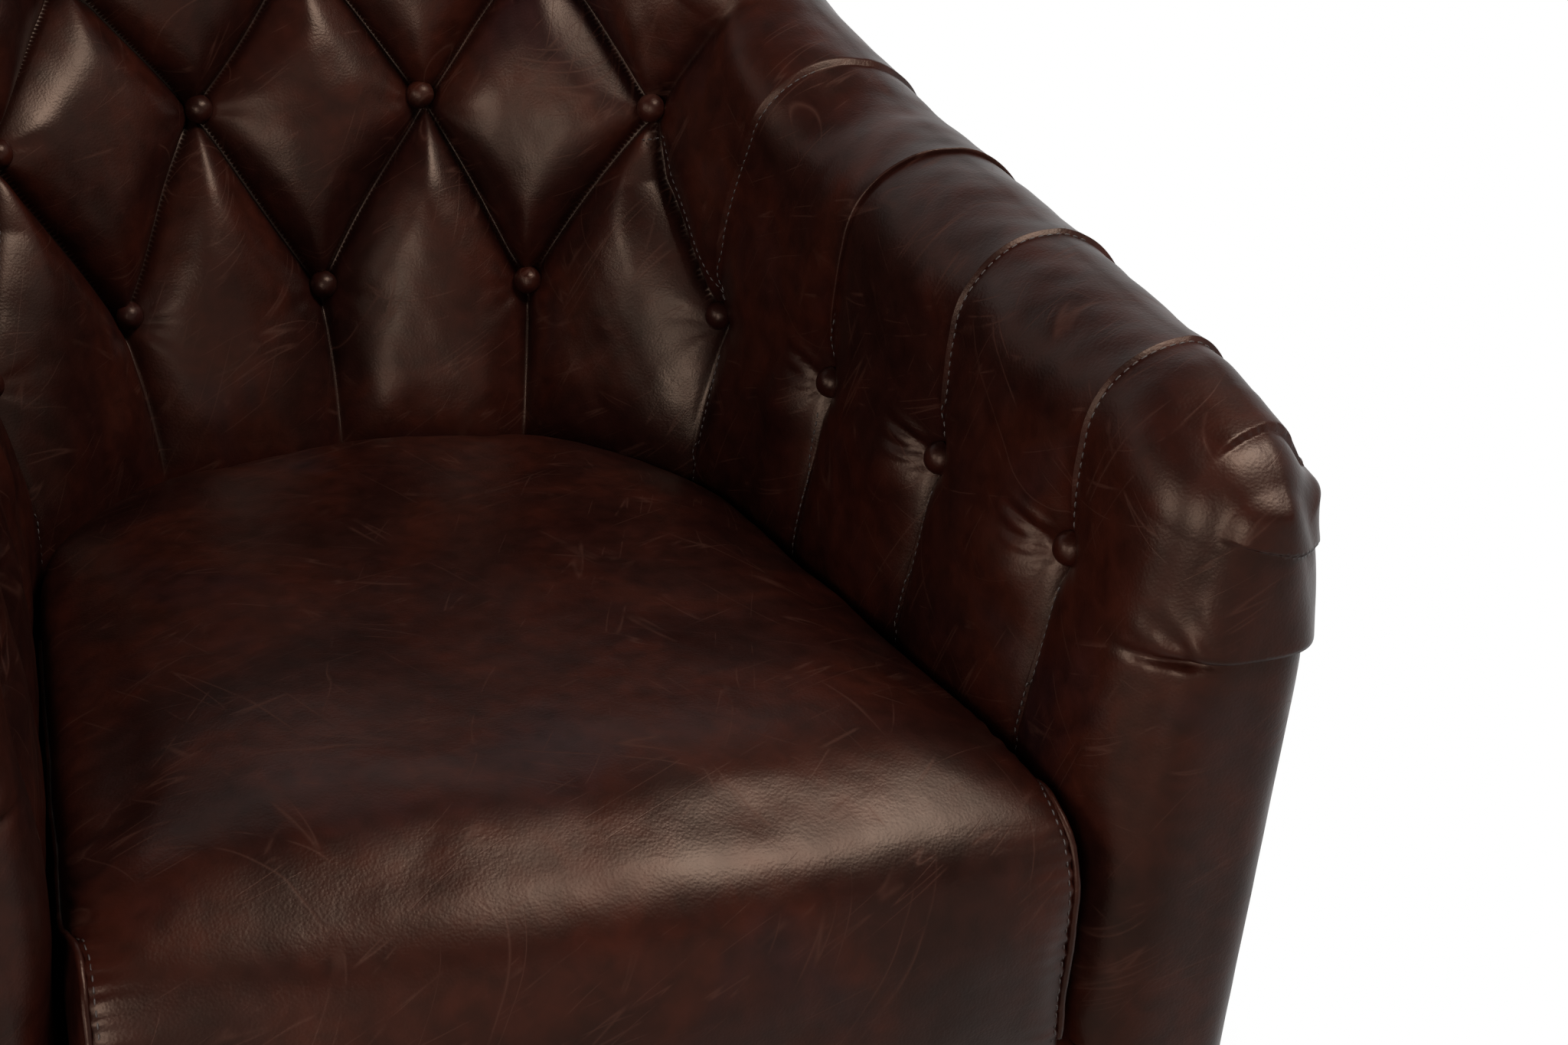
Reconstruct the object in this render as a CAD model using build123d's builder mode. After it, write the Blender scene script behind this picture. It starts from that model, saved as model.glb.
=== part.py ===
from build123d import *
import os
from math import ceil, cos, pi, radians, sin, sqrt, tan

os.makedirs("parts", exist_ok=True)

# A leather tub chair: a deep-buttoned tub on a hardwood frame, with a loose seat cushion.
# Millimetres, +Z up, the front faces -Y. Left and right are the sitter's, so left is +X.
# The origin is on the floor, under the middle of the chair.

# Height of the seat edge and of what is under it
seat_edge_height = 425.0
leg_height = 160.0
front_rail_height = 112.0
webbing_thickness = 2.0
deck_thickness = 3.0

# Plan of the inside of the tub at the seat edge: a back arc, two corner arcs and flaring arms
back_arc_radius = 330.0
back_arc_half_angle = 20.0
inner_half_width = 235.0
arm_length = 387.0
arm_flare = 27.0

# Walls
wall_back = 132.0
wall_arm_front = 100.0
back_outer_reach = 56.0
back_lean = 14.3
arm_lean = 6.4
arm_front_top = 194.0
arm_slope = 0.144
back_rise = 119.0
inner_roll_share = 0.47
outer_roll_share = 0.45

# Buttoning
button_pitch = 126.0
lower_row_height = 106.0
middle_row_height = 226.0
top_row_height = 322.0
button_diameter = 19.0
button_dome = 8.0
button_rim = 2.5
button_well_clearance = 2.0
button_well_depth = 3.0
button_valley_depth = 14.0
pleat_valley_depth = 8.0
pleat_pinch = 4.0
pleat_reach = 1.0 / 3.0
bulge_share = 0.10
arm_bulge_share = 0.08
flat_bulge_share = 0.02
diamond_tip = 16.0
arm_valley_drop = 20.0
arm_first_column = 2
fan_column = 1.5
toggle_clearance = 2.0

# Steps of the lofts
steps_per_pitch = 6
curve_steps = 18
crown_steps = 4
front_round_steps = 5

# Padding, lining and panels
pad_thickness = 38.0
lining_thickness = 4.0
panel_thickness = 12.0
arm_front_padding = 30.0
seam_drop = 70.0
border_setback = 10.0
border_edge_radius = 5.0

# Frame timber
rail_cover = 32.0
top_rail_height = 60.0
seat_rail_thickness = 26.0
front_rail_thickness = 24.0
front_post_depth = 45.0
back_post_depth = 45.0
tacking_rail_width = 28.0
tacking_rail_height = 22.0
upright_thickness = 28.0
upright_bearing = 12.0
corner_block_size = 40.0
corner_block_height = 55.0
rear_block_start = 200.0
rear_block_end = 262.0

# Webbing
strap_width = 50.0
lengthwise_strap_spacing = 100.0
lengthwise_strap_count = 4
crosswise_strap_spacing = 80.0
crosswise_strap_count = 3
crosswise_strap_first = 75.0
strap_bearing = 14.0
strap_clearance = 2.0
deck_overlap = 40.0

# Seat cushion
cushion_gap = 5.0
cushion_front_gap = 14.0
cushion_setback = 3.0
cushion_crown = 24.0
cushion_front_radius = 55.0
cushion_side_draw = 6.0
cushion_foot_draw = 10.0
cushion_foot_height = 14.0
crown_run = 130.0

# Legs and fixings
leg_top_width = 46.0
leg_foot_width = 30.0
leg_chamfer = 3.0
leg_plate_width = 52.0
leg_plate_thickness = 4.0
glide_diameter = 22.0
glide_thickness = 5.0
leg_bolt_diameter = 8.0
leg_bolt_in_leg = 60.0
leg_bolt_in_block = 40.0
rear_leg_offset = 78.0
screw_diameter = 4.0
screw_head_diameter = 8.0
screw_head_height = 3.0
screw_grip = 18.0
screw_spacing = 20.0
twine_diameter = 2.0
toggle_diameter = 14.0
toggle_thickness = 3.0
toggle_gap = 0.7
dust_cover_thickness = 1.4
dust_cover_inset = 11.0
dust_cover_notch = 4.0

# Fits
fit_gap = 0.4
soft_gap = 1.0
bore_clearance = 0.3

# Plan of the inside of the tub, worked out from the sizes above
back_arc_angle = radians(back_arc_half_angle)
corner_radius = (inner_half_width - back_arc_radius * sin(back_arc_angle)) / (1 - sin(back_arc_angle))
back_arc_length = back_arc_radius * back_arc_angle
corner_end = back_arc_length + corner_radius * (pi / 2 - back_arc_angle)
curve_depth = back_arc_radius * (1 - cos(back_arc_angle)) + corner_radius * cos(back_arc_angle)
front_reach = curve_depth + arm_length
back_reach = wall_back + back_outer_reach
inner_back_y = (front_reach - back_reach) / 2
arm_start_y = inner_back_y - curve_depth
arm_front_y = arm_start_y - arm_length
arm_pad_end_y = arm_front_y + arm_front_padding
arm_front = corner_end + arm_length
arm_pad_end = arm_front - arm_front_padding
back_centre_y = inner_back_y - back_arc_radius
corner_centre_x = (back_arc_radius - corner_radius) * sin(back_arc_angle)
corner_centre_y = back_centre_y + (back_arc_radius - corner_radius) * cos(back_arc_angle)

# Levels
frame_bottom = leg_height
front_rail_top = frame_bottom + front_rail_height
side_rail_top = front_rail_top - webbing_thickness
deck_bottom = front_rail_top + webbing_thickness
deck_top = deck_bottom + deck_thickness
pad_bottom = deck_top + fit_gap

# Columns of buttons: where the back padding meets the arm padding, and the last one behind the front post
split_column = ceil(corner_end / button_pitch)
split_station = split_column * button_pitch
last_toggle = arm_pad_end - front_post_depth - toggle_diameter / 2 - toggle_clearance
last_column = int(last_toggle / button_pitch)


def plan_frame(station):
    """Point on the inside seat line, and the outward direction, at a distance from the back centre."""
    side = -1 if station < 0 else 1
    run = abs(station)
    if run <= back_arc_length:
        angle = run / back_arc_radius
        point = Vector(back_arc_radius * sin(angle), back_centre_y + back_arc_radius * cos(angle))
    elif run <= corner_end:
        angle = back_arc_angle + (run - back_arc_length) / corner_radius
        x = corner_centre_x + corner_radius * sin(angle)
        point = Vector(x, corner_centre_y + corner_radius * cos(angle))
    else:
        angle = pi / 2
        forward = run - corner_end
        point = Vector(inner_half_width + arm_flare * forward / arm_length, arm_start_y - forward)
    return Vector(side * point.X, point.Y), Vector(side * sin(angle), cos(angle))


def section_plane(station):
    """Upright plane across the wall: local x is outward, local y is up from the floor."""
    point, outward = plan_frame(station)
    return Plane(origin=point, x_dir=outward, z_dir=outward.cross(Vector(0, 0, 1)))


def lean(station):
    """Slope of the inside face: outward run per rise."""
    facing = plan_frame(station)[1].Y
    return tan(radians(arm_lean + (back_lean - arm_lean) * max(facing, 0) ** 2))


def wall_base(station):
    """Thickness of the wall at the bottom of the frame."""
    forward = max(abs(station) - corner_end, 0) / arm_length
    return wall_back + (wall_arm_front - wall_back) * forward


def wall_top(station):
    """Distance from the inside seat line to the outside of the roll."""
    facing = plan_frame(station)[1].Y
    return wall_base(station) + back_outer_reach * max(facing, 0) ** 2


def top_height(station):
    """Height of the top of the roll: level across the back, swept down at the corners to the arms."""
    run = abs(station)
    line = arm_front_top + arm_slope * (arm_front - max(run, back_arc_length))
    if run < back_arc_length:
        line += arm_slope * (back_arc_length ** 2 - run ** 2) / (2 * back_arc_length)
    sweep = min(max((run - back_arc_length) / (corner_end - back_arc_length), 0), 1)
    return seat_edge_height + line + back_rise * (1 + cos(pi * sweep)) / 2


def face_offset(station, height):
    """Outward distance of the plain inside face at a height; upright below the seat edge."""
    return max(height - seat_edge_height, 0) * lean(station)


def outside_offset(station, height):
    """Outward distance of the outside of the wall at a height below the seam."""
    seam = top_height(station) - seam_drop
    share = (height - frame_bottom) / (seam - frame_bottom)
    return wall_base(station) + (wall_top(station) - wall_base(station)) * share


def top_rail_box(station):
    """Inner and outer offsets and lower and upper heights of the top rail inside the roll."""
    low = top_height(station) - rail_cover - top_rail_height
    inner = face_offset(station, low) + pad_thickness + lining_thickness + fit_gap
    outer = outside_offset(station, low) - panel_thickness - fit_gap
    return inner, outer, low, low + top_rail_height


def bowed(start, end, rise):
    """Arc between two points, bowed to the left of the way from start to end."""
    across = Vector(start[1] - end[1], end[0] - start[0]).normalized()
    middle = (Vector(*start) + Vector(*end)) * 0.5 + across * rise
    return ThreePointArc(start, (middle.X, middle.Y), end)


def distance(start, end):
    """Straight distance between two points of a section."""
    return sqrt((end[0] - start[0]) ** 2 + (end[1] - start[1]) ** 2)


def near_pleat(station):
    """1 on an upright pleat through a button of the lower row, falling to 0 beside it."""
    position = abs(station) / button_pitch
    return max(0, 1 - abs(position - round(position)) / pleat_reach)


def zigzag(station):
    """0 at the lower and top rows' buttons, 1 at the middle row's buttons half a pitch on."""
    position = abs(station) / button_pitch
    return 1 - abs(2 * (position - int(position)) - 1)


def valleys(station):
    """Heights and depths of the two pleat valleys that cross a section."""
    position = abs(station) / button_pitch
    roll_start = roll_points(station)[0][1]
    low = seat_edge_height + lower_row_height
    middle = seat_edge_height + middle_row_height
    high = seat_edge_height + top_row_height
    swing = zigzag(station)
    depth = pleat_valley_depth + (button_valley_depth - pleat_valley_depth) * abs(2 * swing - 1)
    arm_high = roll_start - arm_valley_drop
    if position >= arm_first_column:
        pinch = near_pleat(station)
        return (low, button_valley_depth * pinch), (arm_high, pleat_pinch * pinch)
    lower = low + (middle - diamond_tip / 2 - low) * swing
    if position <= fan_column:
        return (lower, depth), (high - (high - middle - diamond_tip / 2) * swing, depth)
    rise = (position - fan_column) / (arm_first_column - fan_column)
    upper = (middle + diamond_tip / 2) * (1 - rise) + arm_high * rise
    return (lower, depth), (upper, button_valley_depth * (1 - rise) + pleat_pinch * rise)


def roll_points(station):
    """Points of the roll: start on the inside, two on the crown, shoulder outside, and its edge."""
    pinch = pleat_pinch * near_pleat(station)
    top = top_height(station) - pinch
    outer = wall_top(station)
    start = face_offset(station, top - inner_roll_share * wall_arm_front) + pinch
    inner_radius = inner_roll_share * (outer - start)
    outer_radius = outer_roll_share * (outer - start)
    seam = top_height(station) - seam_drop
    return (
        (start, top - inner_radius),
        (start + inner_radius, top),
        (outer - outer_radius, top),
        (outer, top - outer_radius),
        (outer, seam),
    )


def quarter(start, end):
    """Rounded corner of the roll between an upright and a level tangent."""
    return bowed(start, end, distance(start, end) * (sqrt(2) - 1) / 2)


def inside_face(station, inset=0):
    """Inside face from the foot to the start of the roll, bowed between its pleat valleys."""
    (lower, lower_depth), (upper, upper_depth) = valleys(station)
    start = roll_points(station)[0]
    foot = (inset, pad_bottom)
    edge = (inset, seat_edge_height)
    first = (face_offset(station, lower) + lower_depth + inset, lower)
    second = (face_offset(station, upper) + upper_depth + inset, upper)
    last = (start[0] + inset, start[1])
    on_arm = abs(station) >= arm_first_column * button_pitch
    full = arm_bulge_share if on_arm else bulge_share
    share = full - (full - flat_bulge_share) * near_pleat(station)
    Line(foot, edge)
    bowed(edge, first, share * distance(edge, first))
    bowed(first, second, full * distance(first, second))
    bowed(second, last, flat_bulge_share * distance(second, last))


def pad_outline(station):
    """Section of the buttoned padding: inside face with its valleys, roll, and pocket for the top rail."""
    inner, outer, low, high = top_rail_box(station)
    back = inner - lining_thickness - fit_gap
    start, crown_in, crown_out, shoulder, edge = roll_points(station)
    inside_face(station)
    quarter(start, crown_in)
    Line(crown_in, crown_out)
    quarter(crown_out, shoulder)
    Line(shoulder, edge)
    Polyline(
        edge,
        (outer + soft_gap, edge[1]),
        (outer + soft_gap, high + soft_gap),
        (back, high + soft_gap),
        (back, low),
        (pad_thickness, seat_edge_height),
        (pad_thickness, pad_bottom),
        (0, pad_bottom),
    )


def arm_front_outline(inset):
    """Section of a padded arm front, drawn in all round by an inset, down to the bottom of the frame."""
    start, crown_in, crown_out, shoulder, edge = roll_points(arm_pad_end)
    last = (start[0] + inset, start[1])
    crown_in = (crown_in[0], crown_in[1] - inset)
    crown_out = (crown_out[0], crown_out[1] - inset)
    shoulder = (shoulder[0] - inset, shoulder[1])
    inside_face(arm_pad_end, inset)
    quarter(last, crown_in)
    Line(crown_in, crown_out)
    quarter(crown_out, shoulder)
    Polyline(
        shoulder,
        (wall_base(arm_pad_end) - inset, frame_bottom),
        (inset, frame_bottom),
        (inset, pad_bottom),
    )


def lining_outline(station):
    """Section of the webbing and hessian lining behind the padding."""
    inner, outer, low, high = top_rail_box(station)
    front = inner - lining_thickness - fit_gap
    back = inner - fit_gap
    Polyline(
        (pad_thickness, pad_bottom),
        (pad_thickness, seat_edge_height),
        (front, low),
        (front, high),
        (back, high),
        (back, low),
        (pad_thickness + lining_thickness, seat_edge_height),
        (pad_thickness + lining_thickness, pad_bottom),
        close=True,
    )


def top_rail_outline(station):
    """Section of the top rail."""
    inner, outer, low, high = top_rail_box(station)
    Polyline((inner, low), (outer, low), (outer, high), (inner, high), close=True)


def panel_outline(station):
    """Section of an outside panel, from the bottom of the frame up to the seam."""
    seam = top_height(station) - seam_drop - soft_gap
    base = wall_base(station)
    top = outside_offset(station, seam)
    Polyline(
        (base, frame_bottom),
        (top, seam),
        (top - panel_thickness, seam),
        (base - panel_thickness, frame_bottom),
        close=True,
    )


def wall_sections(outline, stations):
    """Sections of a part of the wall, one face on the plane of each station."""
    sections = []
    for station in stations:
        with BuildSketch(section_plane(station), mode=Mode.PRIVATE) as section:
            with BuildLine():
                outline(station)
            make_face()
        sections.append(section.sketch)
    return sections


def even_stations(start, end, count):
    """Stations spread evenly from start to end."""
    return [start + (end - start) * step / count for step in range(count + 1)]


def arch(offset):
    """Back curve at an offset, from the left corner's end over the back to the right corner's end."""
    half = 90 - back_arc_half_angle
    last = half + 2 * back_arc_half_angle
    CenterArc((corner_centre_x, corner_centre_y), corner_radius + offset, 0, half)
    CenterArc((0, back_centre_y), back_arc_radius + offset, half, 2 * back_arc_half_angle)
    CenterArc((-corner_centre_x, corner_centre_y), corner_radius + offset, last, half)


def arch_y(x, offset):
    """Place along Y of the back curve at an offset, for a distance x from the middle."""
    radius = corner_radius + offset
    corner = corner_centre_y + sqrt(max(radius ** 2 - (abs(x) - corner_centre_x) ** 2, 0))
    middle = back_centre_y + sqrt((back_arc_radius + offset) ** 2 - x ** 2)
    on_middle = abs(x) <= (back_arc_radius + offset) * sin(back_arc_angle)
    return middle if on_middle else corner


def band_face(inner, outer):
    """Face of a band round the back curve between two offsets, open at the front."""
    with BuildSketch(mode=Mode.PRIVATE) as band:
        with BuildLine():
            arch(inner)
            arch(outer)
            Line((inner_half_width + inner, arm_start_y), (inner_half_width + outer, arm_start_y))
            Line((-inner_half_width - inner, arm_start_y), (-inner_half_width - outer, arm_start_y))
        make_face()
    return band.sketch


def arm_x(y, offset):
    """Distance from the middle to an offset from the inside of the left arm at a place along Y."""
    return inner_half_width + arm_flare * (arm_start_y - y) / arm_length + offset


def arm_station(y):
    """Station of a place along Y on an arm."""
    return corner_end + arm_start_y - y


def arm_outside(y):
    """Distance from the middle to the outside of the left arm at a place along Y."""
    return arm_x(y, wall_base(arm_station(y)))


def button_plane(position, height):
    """Plane at the bottom of a button's valley, facing the sitter; position counts in pitches."""
    station = position * button_pitch
    point, outward = plan_frame(station)
    offset = face_offset(station, height) + button_valley_depth
    slope = lean(station)
    facing = (Vector(0, 0, 1) * slope - outward).normalized()
    along = outward.cross(Vector(0, 0, 1))
    return Plane(origin=point + outward * offset + Vector(0, 0, height), x_dir=along, z_dir=facing)


lower_positions = range(-last_column, last_column + 1)
middle_positions = [step - fan_column for step in range(int(2 * fan_column) + 1)]
top_positions = range(1 - arm_first_column, arm_first_column)
lower_places = [button_plane(k, seat_edge_height + lower_row_height) for k in lower_positions]
middle_places = [button_plane(k, seat_edge_height + middle_row_height) for k in middle_positions]
top_places = [button_plane(k, seat_edge_height + top_row_height) for k in top_positions]
button_places = lower_places + middle_places + top_places

pad_step = button_pitch / steps_per_pitch
back_stations = even_stations(-split_station, split_station, 2 * split_column * steps_per_pitch)
arm_full_steps = int((arm_pad_end - split_station) / pad_step)
arm_stations = [split_station + step * pad_step for step in range(arm_full_steps + 1)] + [arm_pad_end]
curve_stations = even_stations(-corner_end, corner_end, curve_steps)
arm_ends = [corner_end, arm_pad_end]


def cut_button_wells():
    """Wells for the buttons and holes for their twines, cut from the padding being built."""
    well = button_diameter / 2 + button_well_clearance
    reach = 2 * pad_thickness
    with Locations(*[place.offset(-button_well_depth) for place in button_places]):
        Cylinder(well, reach, align=(Align.CENTER, Align.CENTER, Align.MIN), mode=Mode.SUBTRACT)
    cut_twine_holes()


def cut_twine_holes():
    """Holes for the button twines, cut from the layer being built."""
    reach = 2 * pad_thickness
    with Locations(*button_places):
        Cylinder(twine_diameter / 2 + bore_clearance, 2 * reach, mode=Mode.SUBTRACT)


# Buttoned padding of the back and arms
with BuildPart() as tufted_inside_back:
    loft(wall_sections(pad_outline, back_stations), ruled=True)
    cut_button_wells()
tufted_inside_back.part.label = "tufted_inside_back"
export_step(tufted_inside_back.part, "parts/tufted_inside_back.step")

with BuildPart() as tufted_inside_arm_left:
    loft(wall_sections(pad_outline, arm_stations), ruled=True)
    cut_button_wells()
tufted_inside_arm_left.part.label = "tufted_inside_arm_left"
export_step(tufted_inside_arm_left.part, "parts/tufted_inside_arm_left.step")

with BuildPart() as tufted_inside_arm_right:
    mirror(tufted_inside_arm_left.part, about=Plane.YZ)
tufted_inside_arm_right.part.label = "tufted_inside_arm_right"
export_step(tufted_inside_arm_right.part, "parts/tufted_inside_arm_right.step")

# Rounded padded fronts of the arms
front_round_angles = [pi / 2 * step / front_round_steps for step in range(front_round_steps + 1)]
front_sections = []
for angle in front_round_angles:
    inset = arm_front_padding * (1 - cos(angle))
    forward = arm_front_padding * sin(angle)
    with BuildSketch(section_plane(arm_pad_end).offset(forward)) as front_section:
        with BuildLine():
            arm_front_outline(inset)
        make_face()
    front_sections.append(front_section.sketch)

with BuildPart() as arm_front_left:
    loft(front_sections, ruled=True)
arm_front_left.part.label = "arm_front_left"
export_step(arm_front_left.part, "parts/arm_front_left.step")

with BuildPart() as arm_front_right:
    mirror(arm_front_left.part, about=Plane.YZ)
arm_front_right.part.label = "arm_front_right"
export_step(arm_front_right.part, "parts/arm_front_right.step")

# Lining behind the padding
with BuildPart() as back_lining:
    loft(wall_sections(lining_outline, back_stations), ruled=True)
    cut_twine_holes()
back_lining.part.label = "back_lining"
export_step(back_lining.part, "parts/back_lining.step")

with BuildPart() as arm_lining_left:
    loft(wall_sections(lining_outline, [split_station, arm_pad_end]), ruled=True)
    cut_twine_holes()
arm_lining_left.part.label = "arm_lining_left"
export_step(arm_lining_left.part, "parts/arm_lining_left.step")

with BuildPart() as arm_lining_right:
    mirror(arm_lining_left.part, about=Plane.YZ)
arm_lining_right.part.label = "arm_lining_right"
export_step(arm_lining_right.part, "parts/arm_lining_right.step")

# Outside panels and the border under the cushion
with BuildPart() as outside_back_panel:
    loft(wall_sections(panel_outline, curve_stations))
outside_back_panel.part.label = "outside_back_panel"
export_step(outside_back_panel.part, "parts/outside_back_panel.step")

with BuildPart() as outside_arm_panel_left:
    loft(wall_sections(panel_outline, arm_ends), ruled=True)
outside_arm_panel_left.part.label = "outside_arm_panel_left"
export_step(outside_arm_panel_left.part, "parts/outside_arm_panel_left.step")

with BuildPart() as outside_arm_panel_right:
    mirror(outside_arm_panel_left.part, about=Plane.YZ)
outside_arm_panel_right.part.label = "outside_arm_panel_right"
export_step(outside_arm_panel_right.part, "parts/outside_arm_panel_right.step")

border_half_width = arm_x(arm_pad_end_y, -fit_gap)
border_front_y = arm_front_y + border_setback
with BuildPart() as front_border_panel:
    with BuildSketch(Plane.XY.offset(frame_bottom)):
        with BuildLine():
            Polyline(
                (-border_half_width, border_front_y),
                (border_half_width, border_front_y),
                (border_half_width, arm_pad_end_y),
                (-border_half_width, arm_pad_end_y),
                close=True,
            )
        make_face()
    extrude(amount=deck_top - frame_bottom)
    fillet(front_border_panel.edges().filter_by(Axis.X).group_by(Axis.Y)[0], border_edge_radius)
front_border_panel.part.label = "front_border_panel"
export_step(front_border_panel.part, "parts/front_border_panel.step")

# Top rails inside the roll
with BuildPart() as crest_rail:
    loft(wall_sections(top_rail_outline, curve_stations))
crest_rail.part.label = "crest_rail"
export_step(crest_rail.part, "parts/crest_rail.step")

with BuildPart() as arm_top_rail_left:
    loft(wall_sections(top_rail_outline, arm_ends), ruled=True)
arm_top_rail_left.part.label = "arm_top_rail_left"
export_step(arm_top_rail_left.part, "parts/arm_top_rail_left.step")

with BuildPart() as arm_top_rail_right:
    mirror(arm_top_rail_left.part, about=Plane.YZ)
arm_top_rail_right.part.label = "arm_top_rail_right"
export_step(arm_top_rail_right.part, "parts/arm_top_rail_right.step")

# Posts: each stands from the bottom of the frame to the sloping top rail
front_post_inner = arm_x(arm_pad_end_y, top_rail_box(arm_pad_end)[0])
front_post_outer = arm_outside(arm_pad_end_y) - panel_thickness - fit_gap
front_post_back_y = arm_pad_end_y + front_post_depth
back_post_front_y = arm_start_y - back_post_depth
back_post_inner = arm_x(back_post_front_y, top_rail_box(arm_station(back_post_front_y))[0])
back_post_outer = arm_outside(back_post_front_y) - panel_thickness - seat_rail_thickness - 2 * fit_gap
front_leg_x = (front_post_inner + front_post_outer) / 2
front_leg_y = arm_pad_end_y + front_post_depth / 2
bolt_hole_radius = leg_bolt_diameter / 2 + bore_clearance


def post_side(front_y, back_y):
    """Side view of a post, with its top cut to the slope of the arm top rail."""
    Polyline(
        (front_y, frame_bottom),
        (back_y, frame_bottom),
        (back_y, top_rail_box(arm_station(back_y))[2]),
        (front_y, top_rail_box(arm_station(front_y))[2]),
        close=True,
    )


with BuildPart() as front_post_left:
    with BuildSketch(Plane.YZ.offset(front_post_inner)):
        with BuildLine():
            post_side(arm_pad_end_y, front_post_back_y)
        make_face()
    extrude(amount=front_post_outer - front_post_inner)
    with Locations((front_leg_x, front_leg_y, frame_bottom)):
        Cylinder(bolt_hole_radius, 2 * (leg_bolt_in_block + bore_clearance), mode=Mode.SUBTRACT)
front_post_left.part.label = "front_post_left"
export_step(front_post_left.part, "parts/front_post_left.step")

with BuildPart() as front_post_right:
    mirror(front_post_left.part, about=Plane.YZ)
front_post_right.part.label = "front_post_right"
export_step(front_post_right.part, "parts/front_post_right.step")

with BuildPart() as back_post_left:
    with BuildSketch(Plane.YZ.offset(back_post_inner)):
        with BuildLine():
            post_side(back_post_front_y, arm_start_y)
        make_face()
    extrude(amount=back_post_outer - back_post_inner)
back_post_left.part.label = "back_post_left"
export_step(back_post_left.part, "parts/back_post_left.step")

with BuildPart() as back_post_right:
    mirror(back_post_left.part, about=Plane.YZ)
back_post_right.part.label = "back_post_right"
export_step(back_post_right.part, "parts/back_post_right.step")

# Seat rails
back_rail_outer = wall_back - panel_thickness - fit_gap
back_rail_inner = back_rail_outer - seat_rail_thickness
front_rail_back_y = arm_pad_end_y + front_rail_thickness
screw_level = frame_bottom + corner_block_height / 2
screw_hole_radius = screw_diameter / 2 + bore_clearance
block_middle_x = front_post_inner - fit_gap - corner_block_size / 2
block_back_y = front_rail_back_y + fit_gap + corner_block_size
rear_block_outer = back_rail_inner - fit_gap
rear_block_inner = rear_block_outer - corner_block_size
rear_block_middle = (rear_block_start + rear_block_end) / 2
front_screw_places = [
    Plane(origin=(side * block_middle_x + shift, block_back_y, screw_level), z_dir=(0, -1, 0))
    for side in (-1, 1)
    for shift in (-screw_spacing / 2, screw_spacing / 2)
]
rear_screw_places = []
for side in (-1, 1):
    for shift in (-screw_spacing / 2, screw_spacing / 2):
        point, outward = plan_frame(side * (rear_block_middle + shift))
        origin = point + outward * (rear_block_inner - bore_clearance) + Vector(0, 0, screw_level)
        rear_screw_places.append(Plane(origin=origin, z_dir=outward))
screw_length = corner_block_size + fit_gap + screw_grip


def cut_screw_holes(places):
    """Holes for the corner block screws, cut from the piece being built."""
    with Locations(*places):
        Cylinder(
            screw_hole_radius,
            screw_length + bore_clearance,
            align=(Align.CENTER, Align.CENTER, Align.MIN),
            mode=Mode.SUBTRACT,
        )


with BuildPart() as front_seat_rail:
    with BuildSketch(Plane.XY.offset(frame_bottom)):
        with Locations((0, arm_pad_end_y + front_rail_thickness / 2)):
            Rectangle(2 * (front_post_inner - fit_gap), front_rail_thickness)
    extrude(amount=front_rail_height)
    cut_screw_holes(front_screw_places)
front_seat_rail.part.label = "front_seat_rail"
export_step(front_seat_rail.part, "parts/front_seat_rail.step")

with BuildPart() as side_seat_rail_left:
    with BuildSketch(Plane.XY.offset(frame_bottom)):
        with BuildLine():
            Polyline(
                (arm_outside(front_post_back_y) - panel_thickness - fit_gap, front_post_back_y),
                (arm_outside(arm_start_y) - panel_thickness - fit_gap, arm_start_y),
                (arm_outside(arm_start_y) - panel_thickness - fit_gap - seat_rail_thickness, arm_start_y),
                (
                    arm_outside(front_post_back_y) - panel_thickness - fit_gap - seat_rail_thickness,
                    front_post_back_y,
                ),
                close=True,
            )
        make_face()
    extrude(amount=side_rail_top - frame_bottom)
side_seat_rail_left.part.label = "side_seat_rail_left"
export_step(side_seat_rail_left.part, "parts/side_seat_rail_left.step")

with BuildPart() as side_seat_rail_right:
    mirror(side_seat_rail_left.part, about=Plane.YZ)
side_seat_rail_right.part.label = "side_seat_rail_right"
export_step(side_seat_rail_right.part, "parts/side_seat_rail_right.step")

with BuildPart() as back_seat_rail:
    with BuildSketch(Plane.XY.offset(frame_bottom)):
        add(band_face(back_rail_inner, back_rail_outer))
    extrude(amount=front_rail_height)
    cut_screw_holes(rear_screw_places)
back_seat_rail.part.label = "back_seat_rail"
export_step(back_seat_rail.part, "parts/back_seat_rail.step")

# Centre upright of the back, from the back seat rail to the crest rail
crest_inner, crest_outer, crest_low, crest_high = top_rail_box(0)
upright_width = lengthwise_strap_spacing - strap_width - 2 * strap_clearance
upright_foot_y = inner_back_y + back_rail_inner + upright_bearing
upright_head_y = inner_back_y + crest_inner + upright_thickness
with BuildPart() as back_centre_upright:
    with BuildSketch(Plane.XY.offset(front_rail_top)):
        with Locations((0, upright_foot_y - upright_thickness / 2)):
            Rectangle(upright_width, upright_thickness)
    with BuildSketch(Plane.XY.offset(crest_low - fit_gap)):
        with Locations((0, upright_head_y - upright_thickness / 2)):
            Rectangle(upright_width, upright_thickness)
    loft(ruled=True)
back_centre_upright.part.label = "back_centre_upright"
export_step(back_centre_upright.part, "parts/back_centre_upright.step")

# Tacking rails that hold the bottom of the lining
tacking_inner = pad_thickness + lining_thickness + fit_gap
tacking_outer = tacking_inner + tacking_rail_width
with BuildPart() as back_tacking_rail:
    with BuildSketch(Plane.XY.offset(pad_bottom)):
        add(band_face(tacking_inner, tacking_outer))
    extrude(amount=tacking_rail_height)
back_tacking_rail.part.label = "back_tacking_rail"
export_step(back_tacking_rail.part, "parts/back_tacking_rail.step")

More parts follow.
